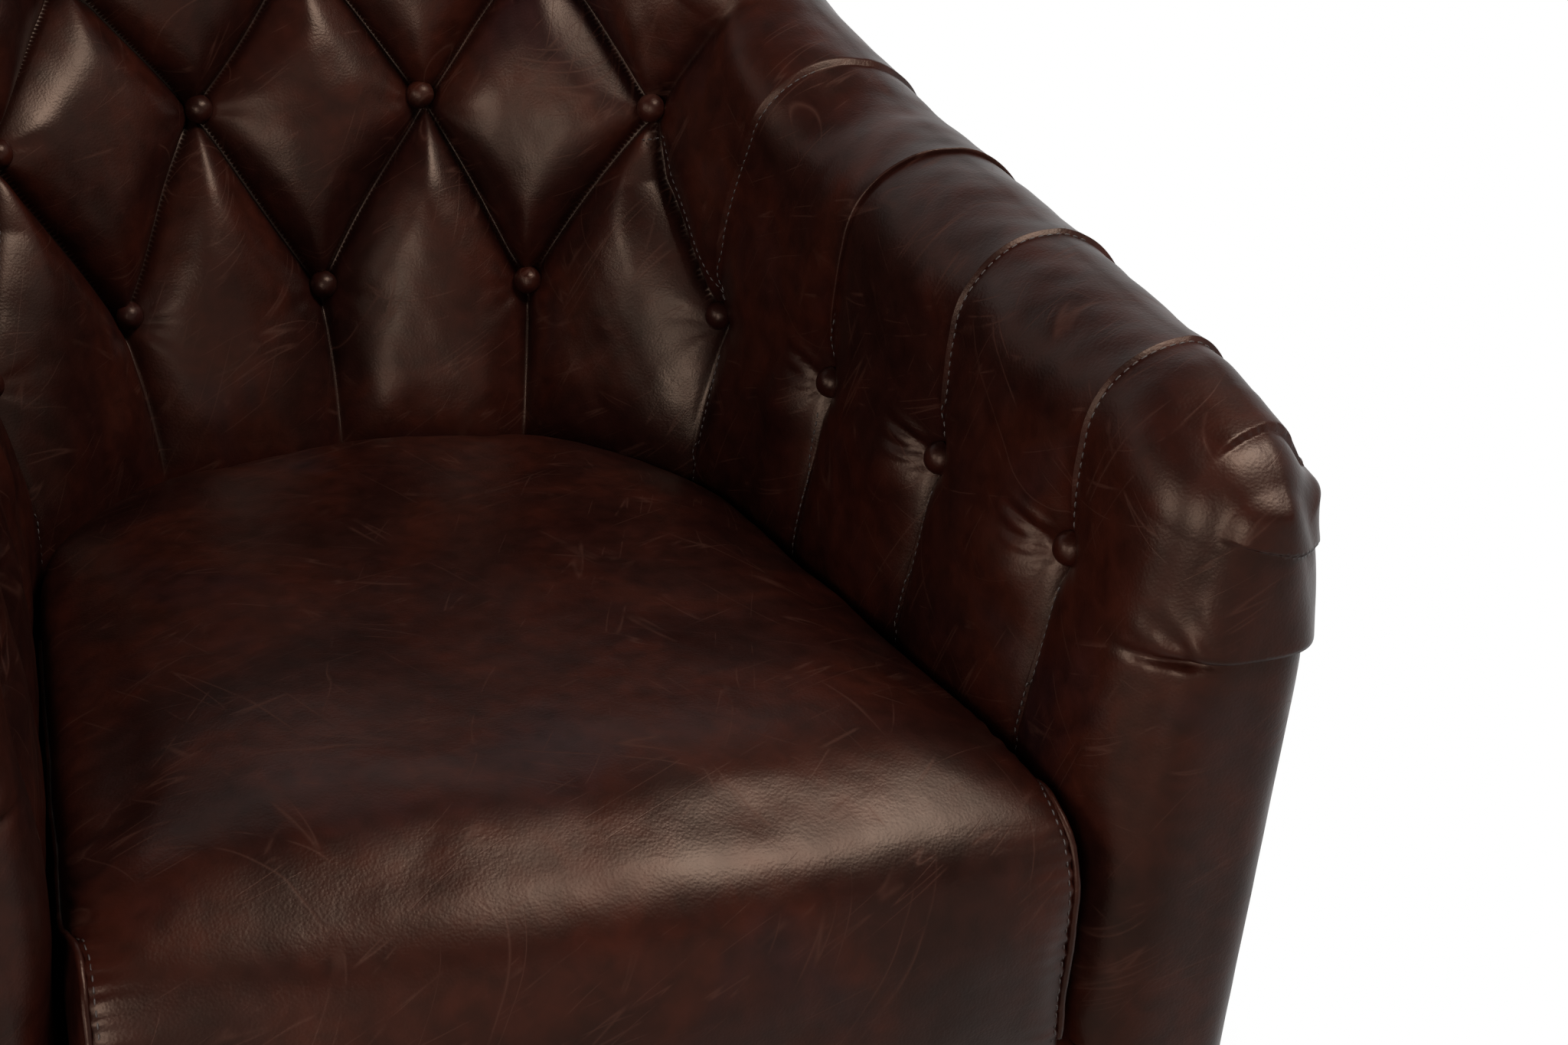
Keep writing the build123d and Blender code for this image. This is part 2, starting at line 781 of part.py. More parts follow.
with BuildPart() as arm_tacking_rail_left:
    with BuildSketch(Plane.XY.offset(pad_bottom)):
        with BuildLine():
            Polyline(
                (arm_x(front_post_back_y, tacking_inner), front_post_back_y),
                (arm_x(back_post_front_y, tacking_inner), back_post_front_y),
                (arm_x(back_post_front_y, tacking_outer), back_post_front_y),
                (arm_x(front_post_back_y, tacking_outer), front_post_back_y),
                close=True,
            )
        make_face()
    extrude(amount=tacking_rail_height)
arm_tacking_rail_left.part.label = "arm_tacking_rail_left"
export_step(arm_tacking_rail_left.part, "parts/arm_tacking_rail_left.step")

with BuildPart() as arm_tacking_rail_right:
    mirror(arm_tacking_rail_left.part, about=Plane.YZ)
arm_tacking_rail_right.part.label = "arm_tacking_rail_right"
export_step(arm_tacking_rail_right.part, "parts/arm_tacking_rail_right.step")

# Corner blocks and their screws
rear_block_angles = [
    90 - back_arc_half_angle - (station - back_arc_length) / corner_radius * 180 / pi
    for station in (rear_block_start, rear_block_end)
]
rear_leg_place = plan_frame(rear_block_middle)[0] + plan_frame(rear_block_middle)[1] * rear_leg_offset
with BuildPart() as corner_blocks:
    with BuildSketch(Plane.XY.offset(frame_bottom)):
        with Locations((block_middle_x, block_back_y - corner_block_size / 2)):
            Rectangle(corner_block_size, corner_block_size)
        with BuildLine():
            turn = rear_block_angles[0] - rear_block_angles[1]
            outer_arc = CenterArc(
                (corner_centre_x, corner_centre_y),
                corner_radius + rear_block_outer,
                rear_block_angles[1],
                turn,
            )
            inner_arc = CenterArc(
                (corner_centre_x, corner_centre_y),
                corner_radius + rear_block_inner,
                rear_block_angles[1],
                turn,
            )
            Line(outer_arc @ 0, inner_arc @ 0)
            Line(outer_arc @ 1, inner_arc @ 1)
        make_face()
        mirror(about=Plane.YZ)
    extrude(amount=corner_block_height)
    cut_screw_holes(front_screw_places + rear_screw_places)
    with Locations(*[(side * rear_leg_place.X, rear_leg_place.Y, frame_bottom) for side in (-1, 1)]):
        Cylinder(bolt_hole_radius, 2 * (leg_bolt_in_block + bore_clearance), mode=Mode.SUBTRACT)
corner_blocks.part.label = "corner_blocks"
export_step(corner_blocks.part, "parts/corner_blocks.step")

with BuildPart() as corner_block_screws:
    with Locations(*(front_screw_places + rear_screw_places)):
        Cylinder(screw_diameter / 2, screw_length, align=(Align.CENTER, Align.CENTER, Align.MIN))
        Cylinder(
            screw_head_diameter / 2,
            screw_head_height,
            align=(Align.CENTER, Align.CENTER, Align.MAX),
        )
corner_block_screws.part.label = "corner_block_screws"
export_step(corner_block_screws.part, "parts/corner_block_screws.step")

# Seat webbing and the deck cloth over it
with BuildPart() as crosswise_webbing:
    with BuildSketch(Plane.XY.offset(side_rail_top)):
        for step in range(crosswise_strap_count):
            strap_y = front_post_back_y + crosswise_strap_first + step * crosswise_strap_spacing
            rail_inner_x = arm_outside(strap_y) - panel_thickness - fit_gap - seat_rail_thickness
            with Locations((0, strap_y)):
                Rectangle(2 * (rail_inner_x + strap_bearing), strap_width)
    extrude(amount=webbing_thickness)
crosswise_webbing.part.label = "crosswise_webbing"
export_step(crosswise_webbing.part, "parts/crosswise_webbing.step")

strap_front_y = front_rail_back_y - strap_bearing
with BuildPart() as lengthwise_webbing:
    with BuildSketch(Plane.XY.offset(front_rail_top)):
        for step in range(lengthwise_strap_count):
            strap_x = (step - (lengthwise_strap_count - 1) / 2) * lengthwise_strap_spacing
            strap_back_y = arch_y(abs(strap_x) + strap_width / 2, back_rail_inner) + strap_bearing
            with Locations((strap_x, (strap_front_y + strap_back_y) / 2)):
                Rectangle(strap_width, strap_back_y - strap_front_y)
    extrude(amount=webbing_thickness)
lengthwise_webbing.part.label = "lengthwise_webbing"
export_step(lengthwise_webbing.part, "parts/lengthwise_webbing.step")

with BuildPart() as seat_deck:
    with BuildSketch(Plane.XY.offset(deck_bottom)):
        with BuildLine():
            arch(deck_overlap)
            Polyline(
                (inner_half_width + deck_overlap, arm_start_y),
                (arm_x(strap_front_y, deck_overlap), strap_front_y),
                (-arm_x(strap_front_y, deck_overlap), strap_front_y),
                (-inner_half_width - deck_overlap, arm_start_y),
            )
        make_face()
    extrude(amount=deck_thickness)
seat_deck.part.label = "seat_deck"
export_step(seat_deck.part, "parts/seat_deck.step")

# Loose seat cushion: crowned top, rounded waterfall front, sides drawn in at the foot and at the seam
cushion_front_y = arm_front_y + cushion_setback
cushion_front_x = arm_x(cushion_front_y, -cushion_front_gap)
belly_level = pad_bottom + cushion_foot_height
round_level = seat_edge_height - cushion_front_radius


def cushion_outline(side_inset, front_inset):
    """Plan of the cushion, drawn in from its sides and back, and from its front."""
    offset = -cushion_gap - side_inset
    front_y = cushion_front_y + front_inset
    arch(offset)
    Polyline(
        (inner_half_width + offset, arm_start_y),
        (cushion_front_x - side_inset, front_y),
        (-cushion_front_x + side_inset, front_y),
        (-inner_half_width - offset, arm_start_y),
    )


cushion_levels = [
    (pad_bottom, cushion_foot_draw, cushion_foot_draw),
    (belly_level, 0, 0),
    (round_level, 0, 0),
]
for step in range(1, front_round_steps + 1):
    angle = pi / 2 * step / front_round_steps
    draw = cushion_side_draw * step / front_round_steps
    rounding = cushion_front_radius * (1 - cos(angle))
    cushion_levels.append((round_level + cushion_front_radius * sin(angle), draw, rounding))
for step in range(1, crown_steps + 1):
    angle = pi / 2 * step / crown_steps
    run = crown_run * (1 - cos(angle))
    height = seat_edge_height + cushion_crown * sin(angle)
    cushion_levels.append((height, cushion_side_draw + run, cushion_front_radius + run))

with BuildPart() as seat_cushion:
    for level, side_inset, front_inset in cushion_levels:
        with BuildSketch(Plane.XY.offset(level)):
            with BuildLine():
                cushion_outline(side_inset, front_inset)
            make_face()
    loft(ruled=True)
seat_cushion.part.label = "seat_cushion"
export_step(seat_cushion.part, "parts/seat_cushion.step")

# Covered buttons, their twines and toggles
dome_height = button_dome - button_rim
dome_chord = sqrt((button_diameter / 2) ** 2 + dome_height ** 2)
dome_radius = dome_chord ** 2 / (2 * dome_height)
dome_rise = dome_radius - sqrt(dome_radius ** 2 - dome_chord ** 2 / 4)
with BuildPart(mode=Mode.PRIVATE) as button:
    with BuildSketch(Plane.XZ):
        with BuildLine():
            rim = (button_diameter / 2, button_rim)
            crown = (0, button_dome)
            Polyline(crown, (0, 0), (button_diameter / 2, 0), rim)
            bowed(rim, crown, -dome_rise)
        make_face()
    revolve(axis=Axis.Z)

button_rows = {
    "lower_row_buttons": lower_places,
    "middle_row_buttons": middle_places,
    "top_row_buttons": top_places,
}
for row_name, places in button_rows.items():
    with BuildPart() as button_row:
        with Locations(*[place.offset(-button_well_depth) for place in places]):
            add(button.part)
    button_row.part.label = row_name
    export_step(button_row.part, f"parts/{row_name}.step")


def twine_length(place, depth):
    """Length of a twine from the bottom of the button's well to a depth behind the plain face."""
    upright = sqrt(1 - place.z_dir.Z ** 2)
    return (depth - button_valley_depth) * upright - button_well_depth


tied_depth = pad_thickness + lining_thickness + toggle_gap
tacked_depth = pad_thickness
tied_places = lower_places + middle_places
twines = [(place, tied_depth) for place in tied_places] + [(place, tacked_depth) for place in top_places]
with BuildPart() as button_twines:
    for place, depth in twines:
        with Locations(place.offset(-button_well_depth)):
            Cylinder(
                twine_diameter / 2,
                twine_length(place, depth),
                align=(Align.CENTER, Align.CENTER, Align.MAX),
            )
button_twines.part.label = "button_twines"
export_step(button_twines.part, "parts/button_twines.step")

with BuildPart() as twine_toggles:
    for place in tied_places:
        with Locations(place.offset(-button_well_depth - twine_length(place, tied_depth))):
            Cylinder(toggle_diameter / 2, toggle_thickness, align=(Align.CENTER, Align.CENTER, Align.MAX))
twine_toggles.part.label = "twine_toggles"
export_step(twine_toggles.part, "parts/twine_toggles.step")

# Legs with their plates, bolts and glides
leg_places = {
    "leg_front_left": (front_leg_x, front_leg_y),
    "leg_front_right": (-front_leg_x, front_leg_y),
    "leg_back_left": (rear_leg_place.X, rear_leg_place.Y),
    "leg_back_right": (-rear_leg_place.X, rear_leg_place.Y),
}
leg_top = frame_bottom - leg_plate_thickness
for leg_name, (leg_x, leg_y) in leg_places.items():
    with BuildPart() as leg:
        for level, width in ((glide_thickness, leg_foot_width), (leg_top, leg_top_width)):
            with BuildSketch(Plane.XY.offset(level)):
                with Locations((leg_x, leg_y)):
                    RectangleRounded(width, width, leg_chamfer)
        loft(ruled=True)
        with Locations((leg_x, leg_y, leg_top)):
            Cylinder(bolt_hole_radius, 2 * (leg_bolt_in_leg + bore_clearance), mode=Mode.SUBTRACT)
    leg.part.label = leg_name
    export_step(leg.part, f"parts/{leg_name}.step")

with BuildPart() as leg_plates:
    with BuildSketch(Plane.XY.offset(leg_top)):
        with Locations(*leg_places.values()):
            Rectangle(leg_plate_width, leg_plate_width)
            Circle(bolt_hole_radius, mode=Mode.SUBTRACT)
    extrude(amount=leg_plate_thickness)
leg_plates.part.label = "leg_plates"
export_step(leg_plates.part, "parts/leg_plates.step")

with BuildPart() as leg_bolts:
    with BuildSketch(Plane.XY.offset(leg_top - leg_bolt_in_leg)):
        with Locations(*leg_places.values()):
            Circle(leg_bolt_diameter / 2)
    extrude(amount=leg_bolt_in_leg + leg_plate_thickness + leg_bolt_in_block)
leg_bolts.part.label = "leg_bolts"
export_step(leg_bolts.part, "parts/leg_bolts.step")

with BuildPart() as leg_glides:
    with BuildSketch():
        with Locations(*leg_places.values()):
            Circle(glide_diameter / 2)
    extrude(amount=glide_thickness)
leg_glides.part.label = "leg_glides"
export_step(leg_glides.part, "parts/leg_glides.step")

# Dust cover under the frame, notched round the leg plates
cover_offset = back_rail_outer - dust_cover_inset
cover_front_y = arm_pad_end_y + dust_cover_inset
notch_width = leg_plate_width + 2 * dust_cover_notch
with BuildPart() as dust_cover:
    with BuildSketch(Plane.XY.offset(frame_bottom - dust_cover_thickness)):
        with BuildLine():
            arch(cover_offset)
            Polyline(
                (inner_half_width + cover_offset, arm_start_y),
                (front_post_outer - dust_cover_inset, cover_front_y),
                (-front_post_outer + dust_cover_inset, cover_front_y),
                (-inner_half_width - cover_offset, arm_start_y),
            )
        make_face()
        with Locations(*leg_places.values()):
            Rectangle(notch_width, notch_width, mode=Mode.SUBTRACT)
    extrude(amount=dust_cover_thickness)
dust_cover.part.label = "dust_cover"
export_step(dust_cover.part, "parts/dust_cover.step")
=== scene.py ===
from math import cos, pi, radians, sin, sqrt

import bpy
import numpy as np
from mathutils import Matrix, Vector
from mathutils.bvhtree import BVHTree


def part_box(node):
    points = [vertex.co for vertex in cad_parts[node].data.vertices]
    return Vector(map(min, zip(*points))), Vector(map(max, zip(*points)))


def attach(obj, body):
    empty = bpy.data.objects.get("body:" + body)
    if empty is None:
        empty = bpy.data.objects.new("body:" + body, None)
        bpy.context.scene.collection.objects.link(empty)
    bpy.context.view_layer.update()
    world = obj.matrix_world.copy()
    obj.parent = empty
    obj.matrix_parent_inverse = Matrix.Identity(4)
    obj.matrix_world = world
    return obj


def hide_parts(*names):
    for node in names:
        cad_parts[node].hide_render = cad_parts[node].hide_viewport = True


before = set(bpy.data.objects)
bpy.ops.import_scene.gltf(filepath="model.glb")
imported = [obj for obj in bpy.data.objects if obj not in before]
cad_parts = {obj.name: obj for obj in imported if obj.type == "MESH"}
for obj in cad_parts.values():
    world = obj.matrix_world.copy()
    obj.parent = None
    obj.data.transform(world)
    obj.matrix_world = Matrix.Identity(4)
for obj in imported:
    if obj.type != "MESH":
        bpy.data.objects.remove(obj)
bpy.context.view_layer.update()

# A leather tub chair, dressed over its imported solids. Shapes are worked out in millimetres,
# in the frame of the solids, and become metres when a mesh is made.
MM = 0.001
quarter = pi / 2
tiny = 1e-9

# Levels and places taken from the frame
frame_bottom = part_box("front_seat_rail")[0].z / MM
pad_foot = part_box("tufted_inside_back")[0].z / MM
arm_front_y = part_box("arm_front_left")[0].y / MM

# Plan of the inside of the tub at the seat edge
seat_edge = 425.0
back_arc_radius = 330.0
back_arc_angle = radians(20.0)
inner_half_width = 235.0
arm_length = 387.0
arm_flare = 27.0

# Walls
wall_back = 132.0
wall_arm_front = 100.0
back_outer_reach = 56.0
back_lean = 14.3
arm_lean = 6.4
arm_front_top = 194.0
arm_slope = 0.144
back_rise = 119.0
inner_roll_share = 0.47
outer_roll_share = 0.45
seam_drop = 70.0
arm_front_padding = 30.0
outer_roll_drop = 1.7
outer_settle = 5.0

# Buttoning: columns are counted from the middle of the back, rows are heights above the seat edge
button_pitch = 126.0
lower_row = 106.0
middle_row = 226.0
top_row = 322.0
button_radius = 9.5
button_dome = 8.0
back_sink = 15.0
arm_sink = 8.0
sink_columns = (1.6, 2.9)
split_column = 3
last_column = 5

# Plan values worked out from the sizes above
corner_radius = (inner_half_width - back_arc_radius * sin(back_arc_angle)) / (1 - sin(back_arc_angle))
back_arc_length = back_arc_radius * back_arc_angle
corner_end = back_arc_length + corner_radius * (quarter - back_arc_angle)
curve_depth = back_arc_radius * (1 - cos(back_arc_angle)) + corner_radius * cos(back_arc_angle)
arm_start_y = arm_front_y + arm_length
inner_back_y = arm_start_y + curve_depth
back_centre_y = inner_back_y - back_arc_radius
corner_centre_x = (back_arc_radius - corner_radius) * sin(back_arc_angle)
corner_centre_y = back_centre_y + (back_arc_radius - corner_radius) * cos(back_arc_angle)
arm_front = corner_end + arm_length
arm_pad_end = arm_front - arm_front_padding
split_station = split_column * button_pitch

# Every ripple is a sum of a few waves of unlike length
ripple_waves = 12
ripple_spread = (0.7, 1.5)


def smooth_step(value, start, end, base=0.0):
    """0 before start, 1 after end, and an even S between them. Both are counted from a base."""
    first = base + start
    share = np.clip((value - first) / (base + end - first), 0, 1)
    return share * share * (3 - 2 * share)


def blend(first, second, share):
    """A value some share of the way from a first value to a second one."""
    return first + (second - first) * share


def bell(value, width):
    """1 at 0, falling away evenly on both sides."""
    return np.exp(-(value / width) ** 2)


def stacked(x, y, z):
    """Points from their three coordinates, each an array or one value."""
    return np.stack(np.broadcast_arrays(x, y, z), axis=-1).astype(float)


def unit(vectors):
    """Vectors brought to a length of 1."""
    return vectors / np.maximum(np.linalg.norm(vectors, axis=-1, keepdims=True), tiny)


def ripple(points, wavelength, seed):
    """Gentle unevenness of about unit size at points in millimetres, the same in every run."""
    random = np.random.default_rng(seed)
    waves = unit(random.normal(size=(ripple_waves, 3)))
    waves *= 2 * pi / (wavelength * random.uniform(*ripple_spread, ripple_waves))[:, None]
    phases = random.uniform(0, 2 * pi, ripple_waves)
    return np.sin(points @ waves.T + phases).sum(axis=-1) / sqrt(ripple_waves / 2)


def plan_frame(station):
    """Points on the inside seat line, and outward directions, at distances from the back centre."""
    side = np.where(station < 0, -1.0, 1.0)
    run = np.abs(station)
    forward = np.maximum(run - corner_end, 0)
    back_angle = np.minimum(run, back_arc_length) / back_arc_radius
    past_back = np.clip(run - back_arc_length, 0, corner_end - back_arc_length)
    corner_angle = back_arc_angle + past_back / corner_radius
    on_back = run <= back_arc_length
    angle = np.where(on_back, back_angle, corner_angle)
    x = np.where(
        on_back,
        back_arc_radius * np.sin(back_angle),
        corner_centre_x + corner_radius * np.sin(corner_angle) + arm_flare * forward / arm_length,
    )
    y = np.where(
        on_back,
        back_centre_y + back_arc_radius * np.cos(back_angle),
        corner_centre_y + corner_radius * np.cos(corner_angle) - forward,
    )
    return side * x, y, side * np.sin(angle), np.cos(angle)


def facing_front(station):
    """1 where the wall faces the front, falling to 0 on the arms."""
    return np.maximum(plan_frame(station)[3], 0) ** 2


def lean(station):
    """Slope of the inside face: outward run per rise."""
    return np.tan(np.radians(blend(arm_lean, back_lean, facing_front(station))))


def wall_base(station):
    """Thickness of the wall at the bottom of the frame."""
    forward = np.maximum(np.abs(station) - corner_end, 0) / arm_length
    return blend(wall_back, wall_arm_front, forward)


def wall_top(station):
    """Distance from the inside seat line to the outside of the roll."""
    return wall_base(station) + back_outer_reach * facing_front(station)


def top_height(station):
    """Height of the top of the roll, swept down at the corners to the arms."""
    run = np.abs(station)
    inside = np.minimum(run, back_arc_length)
    line = arm_front_top + arm_slope * (arm_front - np.maximum(run, back_arc_length))
    line = line + arm_slope * (back_arc_length ** 2 - inside ** 2) / (2 * back_arc_length)
    sweep = np.clip((run - back_arc_length) / (corner_end - back_arc_length), 0, 1)
    return seat_edge + line + back_rise * (1 + np.cos(pi * sweep)) / 2


def outside_offset(station, height):
    """Outward distance of the outside of the wall at a height below the seam."""
    seam = top_height(station) - seam_drop
    share = (height - frame_bottom) / (seam - frame_bottom)
    return blend(wall_base(station), wall_top(station), share)


def in_space(station, offset, height):
    """Points in space from stations, outward offsets and heights."""
    x, y, out_x, out_y = plan_frame(station)
    return stacked(x + out_x * offset, y + out_y * offset, height)


def roll_sizes(station):
    """Offset and unrolled height where the roll starts, its inner radius, flat crown and outer radius."""
    top = top_height(station)
    outer = wall_top(station)
    start = np.maximum(top - inner_roll_share * wall_arm_front - seat_edge, 0) * lean(station)
    inner_radius = inner_roll_share * (outer - start)
    outer_radius = outer_roll_share * (outer - start)
    crown = outer - start - inner_radius - outer_radius
    return start, top - inner_radius - seat_edge, inner_radius, crown, outer_radius


def roll_turns(station):
    """Unrolled heights of both ends of the roll's crown and of its shoulder, where it runs straight down."""
    start, start_length, inner_radius, crown, outer_radius = roll_sizes(station)
    turn_in = start_length + inner_radius * quarter
    turn_out = turn_in + crown
    return turn_in, turn_out, turn_out + outer_radius * quarter


def outer_drop(outer_radius):
    """How far the outside of the roll falls before it runs straight down to its seam."""
    return np.minimum(outer_roll_drop * outer_radius, seam_drop - 2 * outer_settle)


def section(station, unrolled):
    """Offset and height on the wall's plain section at a height measured along it from the seat edge."""
    start, start_length, inner_radius, crown, outer_radius = roll_sizes(station)
    turn_in, turn_out, shoulder = roll_turns(station)
    inner_angle = np.clip((unrolled - start_length) / inner_radius, 0, quarter)
    outer_angle = np.clip((unrolled - turn_out) / outer_radius, 0, quarter)
    offset = start * np.clip(unrolled / start_length, 0, 1)
    offset = offset + inner_radius * (1 - np.cos(inner_angle)) + outer_radius * np.sin(outer_angle)
    offset = offset + np.clip(unrolled - turn_in, 0, crown)
    height = seat_edge + np.minimum(unrolled, start_length) + inner_radius * np.sin(inner_angle)
    height = height - outer_drop(outer_radius) * (1 - np.cos(outer_angle))
    height = height - outer_settle * np.sin(outer_angle)
    return offset, height - np.maximum(unrolled - shoulder, 0)


def section_knots(station, foot, end):
    """Unrolled heights of the foot, seat edge, roll start, ends of its crown, shoulder and outside end."""
    start_length, outer_radius = roll_sizes(station)[1::3]
    turn_in, turn_out, shoulder = roll_turns(station)
    last = shoulder + top_height(station) - outer_drop(outer_radius) - outer_settle - end
    return [foot - seat_edge, 0 * station, start_length, turn_in, turn_out, shoulder, last]


def rows_between(knots, counts):
    """Unrolled heights of all rows at each station, spread evenly between knots."""
    parts = []
    for low, high, count in zip(knots, knots[1:], counts):
        share = np.arange(count) / count
        parts.append(blend(low[:, None], high[:, None], share))
    parts.append(knots[-1][:, None])
    return np.concatenate(parts, axis=1)


# Meshes


def new_object(name, data):
    """A new object in the scene."""
    added = bpy.data.objects.new(name, data)
    bpy.context.scene.collection.objects.link(added)
    return added


def new_mesh(name, vertices, faces):
    """A mesh from vertices in millimetres."""
    mesh = bpy.data.meshes.new(name)
    mesh.from_pydata((np.asarray(vertices) * MM).tolist(), [], faces)
    mesh.update()
    return mesh


def finish_piece(piece, material, body):
    """Smooth shading, a material and a body for a piece."""
    mesh = piece.data
    mesh.polygons.foreach_set("use_smooth", [True] * len(mesh.polygons))
    mesh.materials.clear()
    mesh.materials.append(material)
    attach(piece, body)


def new_piece(name, vertices, faces, material, slot, body="chair"):
    """A smooth-shaded piece from vertices in millimetres, riding on a body."""
    piece = new_object(name, new_mesh(name, vertices, faces))
    finish_piece(piece, material, body)
    return piece


def set_crown(piece, values=1.0):
    """How far each vertex is from the folds of its leather, from 0 to 1, which the material reads. The
    material darkens the colour towards 0: in the tub's folds partly antiqued wax and partly painted shade, in
    the cushion's gathers painted shade.
    """
    attribute = piece.data.attributes.new("crown", "FLOAT", "POINT")
    attribute.data.foreach_set("value", np.ones(len(piece.data.vertices)) * np.ravel(values))


def grid_faces(columns, rows, flip=False):
    """Four-sided faces of a grid of columns and rows of vertices."""
    index = np.arange(columns * rows).reshape(columns, rows)
    corners = [index[:-1, :-1], index[1:, :-1], index[1:, 1:], index[:-1, 1:]]
    if flip:
        corners.reverse()
    return np.stack([corner.ravel() for corner in corners], axis=-1).tolist()


def ring_faces(rings, around, closed=True):
    """Four-sided faces between rings of vertices, and a face at each end if they are closed."""
    index = np.arange(rings * around).reshape(rings, around)
    turned = np.roll(index, -1, axis=1)
    quads = np.stack([index[:-1], index[1:], turned[1:], turned[:-1]], axis=-1)
    ends = [index[0].tolist(), index[-1][::-1].tolist()] if closed else []
    return quads.reshape(-1, 4).tolist() + ends


def crease_faces(rise):
    """Triangles of a grid, each square split along its lower diagonal so that creases stay sharp."""
    index = np.arange(rise.size).reshape(rise.shape)
    corners = (index[:-1, :-1], index[1:, :-1], index[1:, 1:], index[:-1, 1:])
    a, b, c, d = (corner.ravel() for corner in corners)
    level = rise.ravel()
    straight = level[a] + level[c] <= level[b] + level[d]
    first = np.where(straight[:, None], np.stack([a, b, c], -1), np.stack([a, b, d], -1))
    second = np.where(straight[:, None], np.stack([a, c, d], -1), np.stack([b, c, d], -1))
    return np.concatenate([first, second]).tolist()


def surface_normals(points):
    """Unit normals of a grid of points."""
    return unit(np.cross(np.gradient(points, axis=0), np.gradient(points, axis=1)))


def gathered(parts):
    """Vertices and faces of several small meshes as one."""
    vertices = []
    faces = []
    for points, sides in parts:
        first = len(vertices)
        vertices += list(points)
        faces += [[corner + first for corner in face] for face in sides]
    return vertices, faces


# Pleats and buttons on the unrolled inside of the tub: distance along it, and height up the face
beyond_roll = 620.0
seat_tuck = -70.0
arm_pleat_rise = 95.0
hang_width = 10.0
hang_reach = 16.0
diamond_hang = 0.3

# Depths of a pleat at both ends, as shares of the buttons' depth, and how soft it is there
seat_pleat = ((1.0, 0.2), (0.6, 5.0))
diamond_pleat = ((1.0, 1.0), (0.4, 0.4))
bent_pleat = ((1.0, 1.0), (0.6, 0.6))
fan_pleat = ((1.0, 0.3), (0.4, 8.0))
roll_pleat = ((1.0, 0.0), (0.6, 16.0))

# Diamonds of the back from row to row: columns at the start and end of each pleat
lower_diamonds = ((0.0, -0.5), (0.0, 0.5), (1.0, 0.5), (1.0, 1.5))
upper_diamonds = ((-0.5, 0.0), (0.5, 0.0), (0.5, 1.0), (1.5, 1.0))

# The bent pleat at each corner, and the fan pleat that goes on from it over the roll: columns and heights
bent_line = ((2.0, lower_row), (1.80, lower_row + 38), (1.60, middle_row - 42), (1.5, middle_row))
fan_line = (
    (1.5, middle_row),
    (1.60, middle_row + 36),
    (1.74, middle_row + 84),
    (1.84, middle_row + 150),
    (1.88, middle_row + 240),
)


class Pleat:
    """A fold along a line of columns and heights, with its depth and softness at both ends."""

    def __init__(self, line, ends, overlap=0.0):
        self.points = [(column * button_pitch, height) for column, height in line]
        self.depth, self.softness = ends
        self.overlap = overlap

    def lying(self, station, height):
        """Distance used for the rise: shorter under the fold, where the upper pillow hangs over."""
        gap, share = from_line(self.points, station, height)
        if self.overlap:
            first, last = self.points[0], self.points[-1]
            level = first[1] + (station - first[0]) * (last[1] - first[1]) / (last[0] - first[0])
            side = np.tanh((height - level) / hang_width)
            gap = gap * (1 + self.overlap * side * np.exp(-gap / hang_reach))
        soft = blend(*self.softness, share)
        return np.sqrt(gap ** 2 + soft ** 2) - min(self.softness), share


def from_line(points, station, height):
    """Distance of places from a line, and the share along it of the nearest point."""
    runs = list(zip(points, points[1:]))
    total = sum(np.hypot(end[0] - start[0], end[1] - start[1]) for start, end in runs)
    best = np.full(station.shape, np.inf)
    share = np.zeros(station.shape)
    before = 0.0
    for start, end in runs:
        length = np.hypot(end[0] - start[0], end[1] - start[1])
        along = (end[0] - start[0]) / length, (end[1] - start[1]) / length
        reach = (station - start[0]) * along[0] + (height - start[1]) * along[1]
        reach = np.clip(reach, 0, length)
        gap = np.hypot(station - start[0] - reach * along[0], height - start[1] - reach * along[1])
        nearer = gap < best
        best = np.where(nearer, gap, best)
        share = np.where(nearer, (before + reach) / total, share)
        before += length
    return best, share


def pleats():
    """All pleats on one half of the tub."""
    folds = []
    for column in range(-1, last_column + 1):
        folds.append(Pleat([(column, lower_row), (column, seat_tuck)], seat_pleat))
    for start, end in lower_diamonds:
        folds.append(Pleat([(start, lower_row), (end, middle_row)], diamond_pleat, diamond_hang))
    for start, end in upper_diamonds:
        folds.append(Pleat([(start, middle_row), (end, top_row)], diamond_pleat, diamond_hang))
    folds.append(Pleat(bent_line, bent_pleat))
    folds.append(Pleat(fan_line, fan_pleat))
    for column in (-1, 0, 1):
        folds.append(Pleat([(column, top_row), (column, beyond_roll)], roll_pleat))
    for column in range(2, last_column + 1):
        folds.append(Pleat([(column, lower_row), (column, lower_row + arm_pleat_rise)], roll_pleat))
    return folds


def button_places():
    """Columns and heights of the buttons on one half, the middle column included."""
    places = [(column, lower_row) for column in range(last_column + 1)]
    return places + [(0.5, middle_row), (1.5, middle_row), (0.0, top_row), (1.0, top_row)]


def button_sink(station):
    """Depth of the buttons behind the plain face: deep in the back, shallow in the arms."""
    return blend(back_sink, arm_sink, smooth_step(np.abs(station) / button_pitch, *sink_columns))


# Padding between the pleats
pillow_reach = 46.0
pillow_fullness = 2.2
fold_joining = 3.0
fold_gap = 0.05
fold_near = 14.0
fold_middle = 0.7
slit_depth = 6.5
slit_width = 1.6
# Reach of the darkened colour beside each fold: partly antiqued wax, partly painted shade.
crown_reach = 3.5
arm_pillow = 8.0
back_pillow_extra = 9.0
back_columns = (1.5, 2.4)
pillow_foot = (-50.0, 50.0)

# How the padding goes over the roll and down the outside, from the height where the roll starts
roll_pillow = 4.0
roll_pillow_run = (-20.0, 60.0)
outside_pillow = -1.0
outside_pillow_run = (130.0, 190.0)
roll_fold_loss = 0.75
roll_fold_run = (-10.0, 50.0)

# Hollows round the buttons, with small gathers
well_depth = 4.5
well_radius = 12.0
well_gathers = 9
well_gather_rise = 0.9
well_gather_reach = 16.0
well_gather_run = (8.0, 16.0)

